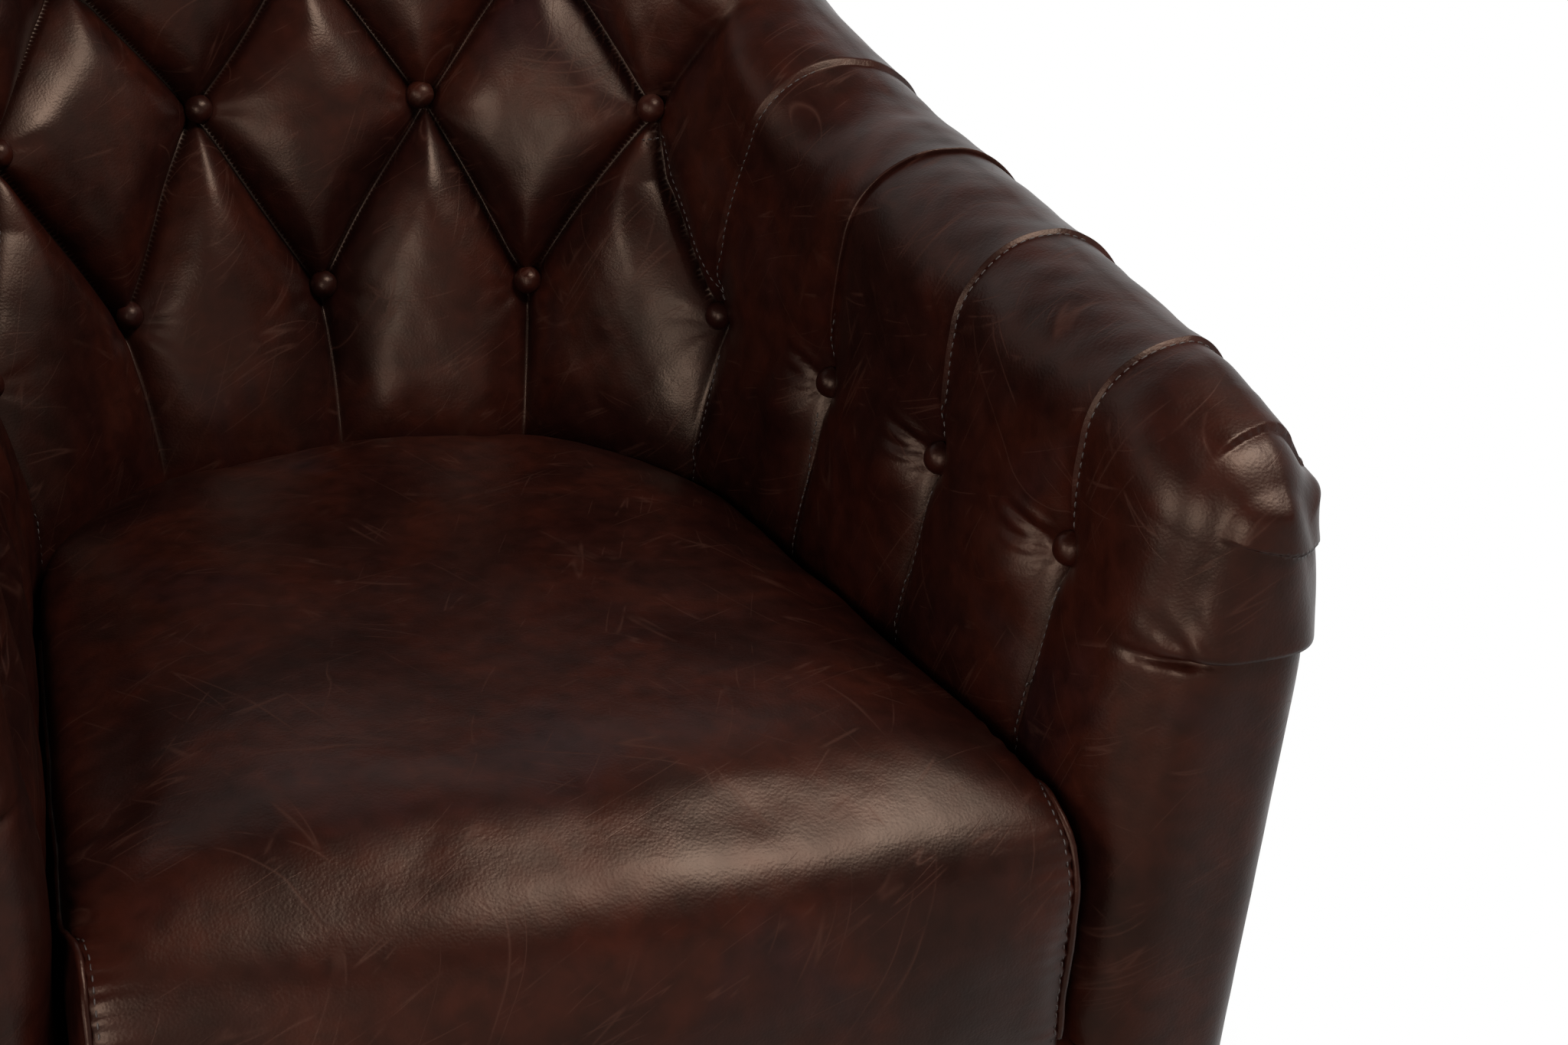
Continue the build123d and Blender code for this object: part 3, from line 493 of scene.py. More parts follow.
# Creases beside the arms' buttons, as start, end, depth and width, and the swelling under them
pull_creases = (
    ((-9.0, 3.0), (-44.0, 12.0), 4.5, 2.6),
    ((-9.0, -2.0), (-40.0, 0.0), 2.6, 2.4),
    ((-8.0, -7.0), (-26.0, -10.0), 1.0, 2.0),
)
crease_start = (-0.01, 0.12)
crease_lip = 0.35
crease_lip_place = 2.5
swelling_place = (-32.0, -22.0)
swelling_size = (24.0, 17.0)
swelling_rise = 5.0


def crease(run, height, start, end, depth, width):
    """A short crease between two places, deepest near its start."""
    gap, share = from_line((start, end), run, height)
    ends = np.sqrt(np.clip(1 - share, 0, 1)) * smooth_step(share, *crease_start)
    lip = crease_lip * bell(gap - crease_lip_place * width, width)
    return depth * ends * (np.exp(-gap / width) - lip)


def dress_buttons(shape, run, height):
    """Adds hollows, gathers, creases and swellings beside the buttons to a rise."""
    for column, level in button_places():
        place = column * button_pitch
        gap = np.hypot(run - place, height - level)
        turn = np.arctan2(height - level, run - place)
        shape -= well_depth * bell(gap, well_radius)
        gathers = np.cos(well_gathers * turn + place + level) * np.exp(-gap / well_gather_reach)
        shape += well_gather_rise * gathers * smooth_step(gap, *well_gather_run)
    for column in range(split_column, last_column + 1):
        place = np.array([column * button_pitch, lower_row])
        for start, end, depth, width in pull_creases:
            shape -= crease(run, height, place + start, place + end, depth, width)
        across = (run - place[0] - swelling_place[0]) / swelling_size[0]
        above = (height - place[1] - swelling_place[1]) / swelling_size[1]
        shape += swelling_rise * np.exp(-across ** 2 - above ** 2)


def padding(station, height, roll_start):
    """Rise of the leather above the plain face, and how far up its pillow each place is."""
    run = np.abs(station)
    total = np.zeros(run.shape)
    depth = np.zeros(run.shape)
    weight = np.full(run.shape, tiny)
    for fold in pleats():
        gap, share = fold.lying(run, height)
        total += (gap + fold_gap) ** -fold_joining
        near = np.exp(-gap / fold_near)
        sag = 1 - 4 * share * (1 - share) * (1 - fold_middle)
        depth += near * blend(*fold.depth, share) * sag
        weight += near
    nearest = total ** (-1 / fold_joining)
    rise = 1 - np.clip(1 - nearest / pillow_reach, 0, 1) ** pillow_fullness
    depth = button_sink(run) * depth / weight
    on_back = 1 - smooth_step(run / button_pitch, *back_columns)
    top = (arm_pillow + back_pillow_extra * on_back) * smooth_step(height, *pillow_foot)
    top = blend(top, roll_pillow, smooth_step(height, *roll_pillow_run, roll_start))
    top = blend(top, outside_pillow, smooth_step(height, *outside_pillow_run, roll_start))
    fade = 1 - roll_fold_loss * smooth_step(height, *roll_fold_run, roll_start)
    shape = top * rise - depth * fade * (1 - rise) - slit_depth * fade * np.exp(-nearest / slit_width)
    dress_buttons(shape, run, height)
    # The second value darkens the leather's colour near the folds: partly antiqued wax, partly painted shade.
    return shape, 1 - np.exp(-nearest / crown_reach)


# Lapped pleats, small waves of the leather, and how the pattern of pleats strays: sizes, lengths and seeds
lap_height = 2.6
lap_run = 20.0
lap_above = (12.0, 45.0)
lap_below = (12.0, 40.0)
lap_below_share = 0.8
lap_foot = (-20.0, 20.0)
leather_waves = ((0.45, 75, 5), (0.12, 24, 6))
stray_reach = 2.0
stray_wave = (190, 3)
climb_wave = (170, 4)
stray_edge = 50.0
lean_columns = (1.5, 2.0, 3.0, 4.0, 5.0)
lean_reaches = (0.0, 44.0, 16.0, 5.0, 0.0)
lean_above = (10.0, 230.0)


def lap(run, height, columns):
    """Extra rise of the leather that laps over the next panel towards the front of an arm."""
    rise = np.zeros(run.shape)
    for column in columns:
        behind = np.where(run <= column, column - run, np.inf)
        rise += np.exp(-behind / lap_run)
    upper = smooth_step(height, *lap_above, lower_row)
    lower = lap_below_share * smooth_step(-height, *lap_below, -lower_row) * smooth_step(height, *lap_foot)
    return lap_height * rise * (upper + lower)


def unevenness(points):
    """Small waves that no stretched leather is free of."""
    return sum(size * ripple(points, wavelength, seed) for size, wavelength, seed in leather_waves)


def leaning(run, height):
    """How far the pleats lean to the front on their way up to and over the roll."""
    reach = np.interp(run / button_pitch, lean_columns, lean_reaches)
    return reach * smooth_step(height, *lean_above, lower_row)


def moved(station, unrolled):
    """Where the pattern of pleats lands: it strays a little, and leans to the front at the corners."""
    points = in_space(station, *section(station, unrolled))
    edge = smooth_step(np.abs(split_station - np.abs(station)), 0, stray_edge)
    stray = stray_reach * ripple(points, *stray_wave) * edge
    climb = stray_reach * ripple(points, *climb_wave) * edge
    side = np.where(station < 0, -1.0, 1.0)
    return station + stray + side * leaning(np.abs(station), unrolled), unrolled + climb


# Inside back
hem = (1.2, 3.0, 6.0)
back_steps = 46
back_foot_rows = 10
stitch_clear = 16.0
bent_sewing_rise = 92.0
bent_sewing_shift = 0.05
bent_sewing_setback = 3.0
lap_sewing_ahead = 1.6
lap_sewing_rise = 170.0
lap_sewing_foot = -12.0
upper_marks = 100
lower_marks = 60


def turned_in(points, normals):
    """Extra rows after the last one that turn its edge inwards."""
    rows = [points[:, -1:] - normals[:, -1:] * depth for depth in hem]
    return np.concatenate([points] + rows, axis=1)


def build_back(leather, thread):
    """Buttoned leather of the back, from one arm's first lapped pleat to the other's."""
    station = np.linspace(-split_station, split_station, 4 * split_column * back_steps + 1)
    foot = pad_foot + 0 * station
    last = section_knots(station, foot, top_height(station) - seam_drop)[-1]
    rows = [level + 0 * station for level in (0, lower_row, middle_row, top_row)]
    counts = (back_foot_rows, back_steps, back_steps, back_steps, 2 * back_steps)
    unrolled = rows_between([foot - seat_edge] + rows + [last], counts)
    wide = station[:, None] + 0 * unrolled
    rise, crown = padding(wide, unrolled, roll_sizes(wide)[1])
    rise += lap(np.abs(wide), unrolled, [2 * button_pitch, split_station])
    place, climbed = moved(wide, unrolled)
    points = in_space(place, *section(place, climbed))
    normals = surface_normals(points)
    rise += unevenness(points)
    final = turned_in(points + normals * rise[..., None], normals)
    rise = np.concatenate([rise, rise[:, -1:] - np.array(hem)], axis=1)
    crown = np.concatenate([crown] + [crown[:, -1:]] * len(hem), axis=1)
    normals = np.concatenate([normals] + [normals[:, -1:]] * len(hem), axis=1)
    for depth in hem:
        final = np.concatenate([final[:1] - normals[:1] * depth, final, final[-1:] - normals[-1:] * depth])
        rise = np.concatenate([rise[:1] - depth, rise, rise[-1:] - depth])
        crown = np.concatenate([crown[:1], crown, crown[-1:]])
    piece = new_piece("tub_back_leather", final.reshape(-1, 3), crease_faces(rise), leather, "leather")
    set_crown(piece, crown)
    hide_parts("tufted_inside_back")
    bend = np.linspace(0, 1, lower_marks)
    lines = []
    for side in (-1, 1):
        for column in (2, split_column):
            lines += lap_lines(side, column)
        bent = side * button_pitch * (2 - bend / 2 + bent_sewing_shift) - bent_sewing_setback
        lines.append((bent, lower_row + stitch_clear + bent_sewing_rise * bend))
    sew(piece, "tub_back_stitches", lines, thread)


def lap_lines(side, column):
    """Stitched lines beside a lapped pleat, above its button and below it: stations and heights."""
    place = side * (column * button_pitch + lap_sewing_ahead)
    upper = np.linspace(lower_row + stitch_clear, lower_row + lap_sewing_rise, upper_marks)
    lower = np.linspace(lap_sewing_foot, lower_row - stitch_clear, lower_marks)
    return [(place + 0 * upper, upper), (place + 0 * lower, lower)]


def sew(piece, name, lines, thread):
    """One piece with the stitches of all lines that lie on a piece of the tub's leather."""
    tree = surface_tree(piece.data)
    rows = []
    for station, height in lines:
        place, climbed = moved(station, height)
        rows.append(stitches(*on_surface(tree, in_space(place, *section(place, climbed)))))
    new_piece(name, *gathered(rows), thread, "twine")


# Arms: how their fronts are rounded
nose_depth = 60.0
nose_fullness = 2 / 2.5
nose_top_fullness = 4.5
front_fullness = 2 / 3.6
front_shave = 11.0
front_shave_run = (-190.0, -40.0)
front_shave_rise = 90.0
front_shave_width = 40.0
front_fall = 31.0
front_fall_run = 80.0
front_fall_power = 1.6
front_fall_level = 20.0
front_foot_run = (-45.0, -2.0)
front_seam_start = 60.0
front_seam_run = 70.0
front_draw_rise = (-10.0, 40.0)
front_even_run = (-80.0, -30.0)
front_even_share = 0.7
front_fold_end = 0.35
arm_overlap = 5.0
arm_tuck = 2.5
arm_tuck_run = 4.0
arm_step = 2.8
arm_nose_steps = 76
arm_rows = (40, 110, 40, 6, 40, 200)
lap_beside = (-3.0, -1.2, -0.4, 0.0, 0.4, 1.2, 3.0)
lap_clear = 4.2

# Ledges of the leather on an arm's front: rise, reach, softness of the edge, tuck and its reach
fist_ledge = (5.0, 60.0, 1.2, 1.5, 9.0)
front_pleat = (2.6, 45.0, 0.9, 1.3, 5.0)
top_pleat = (2.6, 18.0, 0.9, 1.3, 5.0)

# The rolled top of an arm's front over a tucked line, puckered at its inner end
fist_level = 511.0
fist_slope = 0.03
fist_middle = 50.0
fist_behind = (35.0, 95.0)
fist_across = (10.0, 32.0)
pucker_place = 24.0
pucker_width = 11.0
pucker_behind = (25.0, 50.0)
pucker_depth = 5.0
pucker_drop = 1.0
pucker_height = 3.2
pucker_rise = 1.0
pucker_turns = 0.55
pucker_first = 20.0
pucker_lean = 0.25
pucker_level = 9.0

# Two small lapped pleats on it, one across the front and one over the top
front_pleat_slope = 0.25
front_pleat_level = 574.0
front_pleat_start = 292.0
front_pleat_run = 14.0
front_pleat_behind = (25.0, 60.0)
top_pleat_behind = 30.0
top_pleat_start = 303.0
top_pleat_run = (-8.0, 6.0)
top_pleat_levels = (556.0, 584.0)

# The rail inside an arm, which the leather keeps clear of
rail_cover = 32.0
rail_setback = 11.4
rail_clearance = 0.8
rail_softness = 5.0
rail_push = 1.3
rail_beside = (-50.0, -30.0)
rail_end = (-26.0, -1.0)


def ledge(beyond, rise, reach, edge, tuck, tuck_reach):
    """Rise beside a line: raised beyond it and fading, tucked in before it."""
    raised = rise * np.exp(-np.maximum(beyond, 0) / reach) * smooth_step(beyond, -edge, edge)
    return raised - tuck * np.exp(-np.maximum(-beyond, 0) / tuck_reach) * (beyond < 0)


def fist(points):
    """Rise of the rolled top of an arm where it stands out over the plain front below it."""
    x = np.abs(points[..., 0])
    behind = points[..., 1] - arm_front_y
    across = x - inner_half_width - arm_flare * (arm_start_y - points[..., 1]) / arm_length
    above = points[..., 2] - fist_level - fist_slope * (across - fist_middle)
    near = (1 - smooth_step(behind, *fist_behind)) * smooth_step(across, *fist_across)
    rise = near * ledge(above, *fist_ledge)
    pucker = bell(across - pucker_place, pucker_width) * (1 - smooth_step(behind, *pucker_behind))
    rise -= pucker_depth * pucker * bell(above + pucker_drop, pucker_height)
    waves = np.cos(pucker_turns * (across - pucker_first) + pucker_lean * above)
    rise += pucker_rise * pucker * waves * np.exp(-np.abs(above - pucker_level) / pucker_level)
    level = points[..., 2] - front_pleat_level + front_pleat_slope * (x - front_pleat_start)
    outer = smooth_step(x, 0, front_pleat_run, front_pleat_start)
    rise += ledge(level, *front_pleat) * outer * (1 - smooth_step(behind, *front_pleat_behind))
    beyond = behind - top_pleat_behind - front_pleat_slope * (x - top_pleat_start)
    outer = smooth_step(x, *top_pleat_run, top_pleat_start)
    return rise + ledge(beyond, *top_pleat) * outer * smooth_step(points[..., 2], *top_pleat_levels)


def narrowing(run, height):
    """How far the outside of an arm draws in towards the top of its front."""
    raised = smooth_step(height, 0, front_shave_rise, fist_level)
    return front_shave * smooth_step(run, *front_shave_run, arm_front) * raised


def over_rail(points):
    """Extra rise that keeps the leather clear of the outer edge of the rail inside an arm."""
    run = arm_front - (points[..., 1] - arm_front_y)
    inner = inner_half_width + arm_flare * (run - corner_end) / arm_length
    beside = np.abs(points[..., 0]) - inner - wall_base(run) + rail_setback
    above = points[..., 2] - top_height(run) + rail_cover
    need = rail_clearance - np.maximum(beside, above)
    need = (need + np.sqrt(need ** 2 + rail_softness ** 2)) / 2
    return rail_push * need * smooth_step(beside, *rail_beside) * smooth_step(arm_pad_end - run, *rail_end)


def stations_between(start, end, step, columns):
    """Stations a step apart, with close ones beside the columns of lapped pleats."""
    even = list(np.linspace(start, end, int((end - start) / step)))
    for column in columns:
        even = [place for place in even if abs(place - column) > lap_clear]
        even += [column + shift for shift in lap_beside if start <= column + shift <= end]
    return np.array(sorted(even))


def build_arm(side, name, leather, thread):
    """Buttoned leather of an arm, wrapped round its front."""
    lapped = [column * button_pitch for column in range(split_column + 1, last_column + 1)]
    straight_end = arm_front - nose_depth
    straight = stations_between(split_station - arm_overlap, straight_end, arm_step, lapped)
    turns = np.linspace(0, quarter, arm_nose_steps)[1:]
    plain = 0 * straight
    ahead = np.concatenate([plain, np.sin(turns) ** nose_fullness])[:, None]
    collapse = np.concatenate([plain, 1 - np.cos(turns) ** nose_fullness])[:, None]
    collapse_low = np.concatenate([plain, 1 - np.cos(turns) ** front_fullness])[:, None]
    sinking = 1 - (1 - ahead ** nose_top_fullness) ** (1 / nose_top_fullness)
    station = np.concatenate([straight, straight_end + nose_depth * np.sin(turns) ** nose_fullness])
    foot = blend(pad_foot, frame_bottom, smooth_step(station, *front_foot_run, straight_end))
    seam = top_height(station) - seam_drop
    bend = np.clip((station - straight_end + front_seam_start) / front_seam_run, 0, 1)
    end = blend(frame_bottom, seam, np.sqrt(1 - bend ** 2))
    unrolled = rows_between(section_knots(station, foot, end), arm_rows)
    wide = station[:, None] + 0 * unrolled
    place, climbed = moved(side * wide, unrolled)
    place = np.where(collapse > 0, side * wide, place)
    offset, height = section(place, climbed)
    start, start_length, inner_radius, crown_width, outer_radius = roll_sizes(place)
    middle = start + inner_radius + crown_width / 2
    offset = offset - narrowing(wide, height) * smooth_step(offset, 0, front_shave_width, middle)
    nearing = np.clip((wide - arm_front + front_fall_run) / front_fall_run, 0, 1)
    fall_start = fist_level + front_fall_level
    upper = np.clip((height - fall_start) / (top_height(place) - fall_start), 0, 1)
    height = height - front_fall * nearing ** front_fall_power * upper
    drawn = blend(collapse_low, collapse, smooth_step(height, *front_draw_rise, fist_level))
    offset = blend(offset, middle, drawn)
    height = height - sinking * np.maximum(height - start_length - seat_edge, 0)
    points = in_space(place, offset, height)
    normals = side * surface_normals(points)
    normals[-1] = (0, -1, 0)
    rise, crown = padding(wide, unrolled, start_length)
    rise += lap(wide, unrolled, lapped)
    rise = rise * (1 - smooth_step(collapse, 0, front_fold_end))
    even = 1 - front_even_share * smooth_step(wide, *front_even_run, arm_front)
    rise += unevenness(points) * even + fist(points)
    rise -= arm_tuck * smooth_step(split_station - wide, 0, arm_tuck_run)
    final = points + normals * rise[..., None]
    final = turned_in(final + normals * over_rail(final)[..., None], normals)
    faces = grid_faces(*final.shape[:2], flip=side < 0)
    piece = new_piece(f"tub_{name}_arm_leather", final.reshape(-1, 3), faces, leather, "leather")
    set_crown(piece, np.concatenate([crown] + [crown[:, -1:]] * len(hem), axis=1))
    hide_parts(f"tufted_inside_arm_{name}", f"arm_front_{name}")
    lines = []
    for column in range(split_column + 1, last_column + 1):
        lines += lap_lines(side, column)
    sew(piece, f"tub_{name}_arm_stitches", lines, thread)


# Buttons
button_rings = 10
button_spokes = 28
button_sink_share = 0.9
button_proud = 0.5
button_cover = 1.0
button_side_power = 0.9
button_dome_power = 1.1
button_gathers = 7
button_gather_share = 0.012
button_rows = {
    "lower": [(column, lower_row) for column in range(-last_column, last_column + 1)],
    "middle": [(column - 1.5, middle_row) for column in range(4)],
    "top": [(column, top_row) for column in range(-1, 2)],
}


def button(number, column, level):
    """Vertices and faces of a domed covered button."""
    station = np.array(column * button_pitch)
    x, y, out_x, out_y = plan_frame(station)
    slope = lean(station)
    facing = np.array([-out_x, -out_y, slope]) / np.sqrt(1 + slope ** 2)
    along = np.array([out_y, -out_x, 0.0])
    up = np.cross(facing, along)
    offset = level * slope + button_sink_share * button_sink(station) - button_proud
    centre = np.array([x + out_x * offset, y + out_y * offset, seat_edge + level])
    angles = np.linspace(0, 2 * pi, button_spokes, endpoint=False)[:, None]
    around = along * np.cos(angles) + up * np.sin(angles)
    rings = []
    for share in np.arange(button_rings + 1) / button_rings:
        turn = quarter * share
        radius = button_radius * np.sin(turn) ** button_side_power
        lift = (button_dome + button_cover) * np.cos(turn) ** button_dome_power
        gathers = 1 + button_gather_share * np.sin(button_gathers * angles + number) * share ** 2
        rings.append(centre + around * radius * gathers + facing * lift)
    return np.concatenate(rings), ring_faces(len(rings), button_spokes, closed=False)


def build_buttons(leather):
    """Covered buttons, one piece for each row."""
    for row, places in button_rows.items():
        covers = [button(number, *place) for number, place in enumerate(places)]
        piece = new_piece(f"{row}_row_button_covers", *gathered(covers), leather, "button_leather")
        set_crown(piece)
        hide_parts(f"{row}_row_buttons")


# Outside panels
panel_step = 4
panel_rows = 90
panel_lift = 0.2
panel_overlap = 10
panel_setback = 2.4
panel_swell = 2.0
panel_swell_run = 80
panel_tuck = 3.0
panel_side_fade = 3.0
panel_foot_fade = 2.5
panel_waves = 0.7

# Border under the cushion
border_tuck = 7.0
border_flap = 13.0
border_radius = 8.0
border_columns = 150
border_turns = 8
border_rows = 40
border_hem = 5.0
border_flap_turn = 3.0
border_flap_drop = 2.0
border_flap_slope = 0.3
border_front = 8.0
border_swell = 2.5
border_waves = 0.8


def build_outside(name, start, end, leather, node):
    """A plain outside panel of the wall between two stations, its edges turned in."""
    station = np.linspace(start, end, int(abs(end - start) / panel_step))
    share = np.linspace(0, 1, panel_rows)
    low = frame_bottom + panel_lift
    high = (top_height(station) - seam_drop + panel_overlap)[:, None]
    height = blend(low, high, share)
    wide = station[:, None] + 0 * height
    offset = outside_offset(wide, height) - panel_setback - narrowing(np.abs(wide), height)
    points = in_space(wide, offset, height)
    turned = 1 if start < end else -1
    normals = -turned * surface_normals(points)
    edge = np.minimum(np.abs(wide - start), np.abs(wide - end))
    rise = panel_swell * np.sin(pi * share) * smooth_step(edge, 0, panel_swell_run)
    rise -= panel_tuck * np.exp(-edge / panel_side_fade)
    rise -= panel_tuck * np.exp(-(height - low) / panel_foot_fade)
    rise += panel_waves * unevenness(points)
    final = points + normals * rise[..., None]
    faces = grid_faces(*final.shape[:2], flip=turned > 0)
    piece = new_piece(name, final.reshape(-1, 3), faces, leather, "leather")
    set_crown(piece)
    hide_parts(node)


def build_border(leather):
    """Padded border across the front, under the cushion."""
    low, high = (np.array(corner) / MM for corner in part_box("front_border_panel"))
    x = np.linspace(low[0] - border_tuck, high[0] + border_tuck, border_columns)
    turns = np.linspace(0, quarter, border_turns)
    top_y = low[1] + border_radius * (1 - np.sin(turns))
    top_z = high[2] - border_radius * (1 - np.cos(turns))
    flat_z = np.linspace(high[2] - border_radius, low[2] + border_radius, border_rows)[1:-1]
    flap_y = high[1] + np.array([border_flap, border_flap - border_flap_turn, 0.0, -border_hem])
    flap_z = high[2] - np.array([border_flap_drop, border_flap_slope, border_flap_slope, 0.0])
    foot_y = [high[1] - border_hem, high[1]]
    y = np.concatenate([flap_y, top_y, low[1] + 0 * flat_z, top_y[::-1], foot_y])
    z = np.concatenate([flap_z, top_z, flat_z, low[2] + high[2] - top_z[::-1], [low[2]] * 2])
    points = stacked(x[:, None], y, z)
    front = smooth_step(high[1] - points[..., 1], border_front, high[1] - low[1])
    swell = np.sin(pi * (points[..., 2] - low[2]) / (high[2] - low[2]))
    points[..., 1] -= front * (border_swell * swell + border_waves * unevenness(points))
    ends = points[[0, -1]].copy()
    ends[..., 1] = np.maximum(ends[..., 1], high[1] + border_flap)
    points = np.concatenate([ends[:1], points, ends[1:]])
    faces = grid_faces(*points.shape[:2], flip=True)
    piece = new_piece("front_border_leather", points.reshape(-1, 3), faces, leather, "leather")
    set_crown(piece)
    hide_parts("front_border_panel")


# Plain form of the seat cushion
cushion_gap = 5.0
cushion_front_gap = 9.0
cushion_setback = 3.0
cushion_round_level = 370.0
cushion_top = 450.0
cushion_edge = seat_edge + 2.0
cushion_side_run = 130.0
cushion_front_run = 140.0
cushion_front_fullness = 2.7
cushion_foot_draw = 10.0
cushion_foot_round = 16.0
cushion_front_y = arm_front_y + cushion_setback
cushion_front_bow = 14.0
cushion_bow_run = 160
side_marks = 90
corner_marks = 60
back_marks = 30
front_marks = 120
top_rings = 40
boxing_rings = 30
foot_rings = 8
top_shares = (0.02, 0.3, 0.6, 0.85)
foot_shares = (0.7, 0.35, 0.02)


def evaluated_copy(piece, name):
    """A new object with the piece's mesh after its modifiers. The piece is then removed."""
    graph = bpy.context.evaluated_depsgraph_get()
    copy = new_object(name, bpy.data.meshes.new_from_object(piece.evaluated_get(graph)))
    bpy.data.objects.remove(piece)
    return copy


def vertex_array(mesh):
    """Vertices of a mesh as an array in millimetres."""
    flat = np.empty(3 * len(mesh.vertices))
    mesh.vertices.foreach_get("co", flat)
    return flat.reshape(-1, 3) / MM


def set_vertices(mesh, points):
    """Moves the vertices of a mesh to points in millimetres."""
    mesh.vertices.foreach_set("co", (points * MM).ravel())
    mesh.update()


def add_smoothing(piece, factor, iterations):
    """A modifier that evens out a piece."""
    smooth = piece.modifiers.new("smooth", "SMOOTH")
    smooth.factor = factor
    smooth.iterations = iterations


def cushion_half_width(y):
    """Half of the cushion's width at a place along Y on the arms."""
    back = inner_half_width - cushion_gap
    front = inner_half_width + arm_flare * (arm_length - cushion_setback) / arm_length - cushion_front_gap
    return blend(back, front, (arm_start_y - y) / (arm_start_y - cushion_front_y))


def cushion_bow(x):
    """How far the front of the cushion stands out between its corners."""
    return cushion_front_bow * (1 - (x / cushion_half_width(cushion_front_y)) ** 2)


def cushion_outline(inset):
    """Plan of the cushion, drawn in by an inset, as points round it from the front left corner."""
    front_y = cushion_front_y + inset
    side_y = np.linspace(front_y, arm_start_y, side_marks, endpoint=False)
    side_x = cushion_half_width(side_y) - inset
    turns = np.linspace(0, quarter - back_arc_angle, corner_marks, endpoint=False)
    radius = corner_radius - cushion_gap - inset
    corner_x = corner_centre_x + radius * np.cos(turns)
    corner_y = corner_centre_y + radius * np.sin(turns)
    turns = np.linspace(back_arc_angle, 0, back_marks)
    radius = back_arc_radius - cushion_gap - inset
    half_x = np.concatenate([side_x, corner_x, radius * np.sin(turns)])
    half_y = np.concatenate([side_y, corner_y, back_centre_y + radius * np.cos(turns)])
    front_x = np.linspace(-half_x[0], half_x[0], front_marks)[1:-1]
    x = np.concatenate([half_x, -half_x[-2::-1], front_x])
    y = np.concatenate([half_y, half_y[-2::-1], front_y + 0 * front_x])
    return x, y - cushion_bow(x) * smooth_step(-y, -cushion_bow_run, 0, -cushion_front_y)


def cushion_level(inset, x, y):
    """Height of the cushion's top: crowned from its sides and back, and rolled over at its front."""
    side_share = np.clip(1 - inset / cushion_side_run, 0, 1)
    side_drop = (cushion_top - cushion_edge) * (1 - np.sqrt(1 - side_share ** 2))
    front_edge = cushion_front_y - cushion_bow(x)
    front_share = np.clip(1 - (y - front_edge) / cushion_front_run, 0, 1)
    rolled = (1 - front_share ** cushion_front_fullness) ** (1 / cushion_front_fullness)
    front_drop = (cushion_top - cushion_round_level) * (1 - rolled)
    return cushion_top - np.sqrt(side_drop ** 2 + front_drop ** 2)


def cushion_blank():
    """Closed plain form of the cushion, in rings from the middle of its top to the middle of its foot."""
    rings = []
    insets = cushion_side_run * (1 - np.cos(np.linspace(quarter, 0, top_rings)))
    middle = np.array([0.0, (cushion_front_y + inner_back_y) / 2])
    x, y = cushion_outline(insets[0])
    for share in top_shares:
        ring_x = blend(middle[0], x, share)
        ring_y = blend(middle[1], y, share)
        rings.append(stacked(ring_x, ring_y, cushion_level(cushion_side_run, ring_x, ring_y)))
    for inset in insets:
        x, y = cushion_outline(inset)
        rings.append(stacked(x, y, cushion_level(inset, x, y)))
    edge = rings[-1]
    belly = pad_foot + cushion_foot_round
    for share in np.linspace(0, 1, boxing_rings)[1:]:
        ring = edge.copy()
        ring[:, 2] = blend(edge[:, 2], belly, share)
        rings.append(ring)
    for turn in np.linspace(0, quarter, foot_rings)[1:]:
        x, y = cushion_outline(cushion_foot_draw * (1 - np.cos(turn)))
        rings.append(stacked(x, y, blend(belly, pad_foot, np.sin(turn))))
    foot = rings[-1]
    for share in foot_shares:
        ring = foot.copy()
        ring[:, :2] = blend(middle, foot[:, :2], share)
        rings.append(ring)
    faces = ring_faces(len(rings), len(foot))
    return new_object("cushion_blank", new_mesh("cushion_blank", np.concatenate(rings), faces))


# Seams and stitches
seam_inset = 4.0
seam_start = 20
seam_end_share = 0.02
seam_lowering = (30.0, 75.0)
seam_drop_low = 18
seam_foot = 14
seam_side_marks = 160
seam_front_marks = 40
seam_step = 3.0
seam_facing_width = 4
seam_line_width = 2
seam_lift = 0.6
seam_sewing_gap = 5.0
piping_radius = 2.0
piping_spokes = 8
piping_share = 0.06
piping_wave = (16, 12)
tube_side = (0.31, 0.17, 0.93)
stitch_length = 3.6
stitch_step = 5.4
stitch_radius = 0.5
stitch_spokes = 6
stitch_reach = (-0.5, -0.42, -0.2, 0.0, 0.2, 0.42, 0.5)
stitch_thick = (0.3, 0.75, 1.0, 1.0, 1.0, 0.75, 0.3)
stitch_lift = (-0.7, -0.2, 0.15, 0.25, 0.15, -0.2, -0.7)


def surface_tree(mesh):
    """A mesh prepared for finding its nearest points."""
    corners = [vertex.co.copy() for vertex in mesh.vertices]
    return BVHTree.FromPolygons(corners, [tuple(face.vertices) for face in mesh.polygons])


def on_surface(tree, route):
    """Points of a route moved onto a surface, and the surface's normals there."""
    nearest = [tree.find_nearest(Vector(place * MM)) for place in route]
    return np.array([found[0] for found in nearest]) / MM, np.array([found[1] for found in nearest])


def even_route(points, step):
    """A route divided into steps of equal length."""
    runs = np.linalg.norm(np.diff(points, axis=0), axis=1)
    length = np.concatenate([[0], np.cumsum(runs)])
    marks = np.arange(0, length[-1], step)
    return np.stack([np.interp(marks, length, points[:, axis]) for axis in range(3)], axis=-1)


def smoothed(values, width):
    """Values along a route averaged with their neighbours."""
    padded = np.concatenate([values[:1].repeat(width, 0), values, values[-1:].repeat(width, 0)])
    kernel = np.ones(2 * width + 1) / (2 * width + 1)
    return np.stack([np.convolve(padded[:, axis], kernel, "valid") for axis in range(3)], axis=-1)


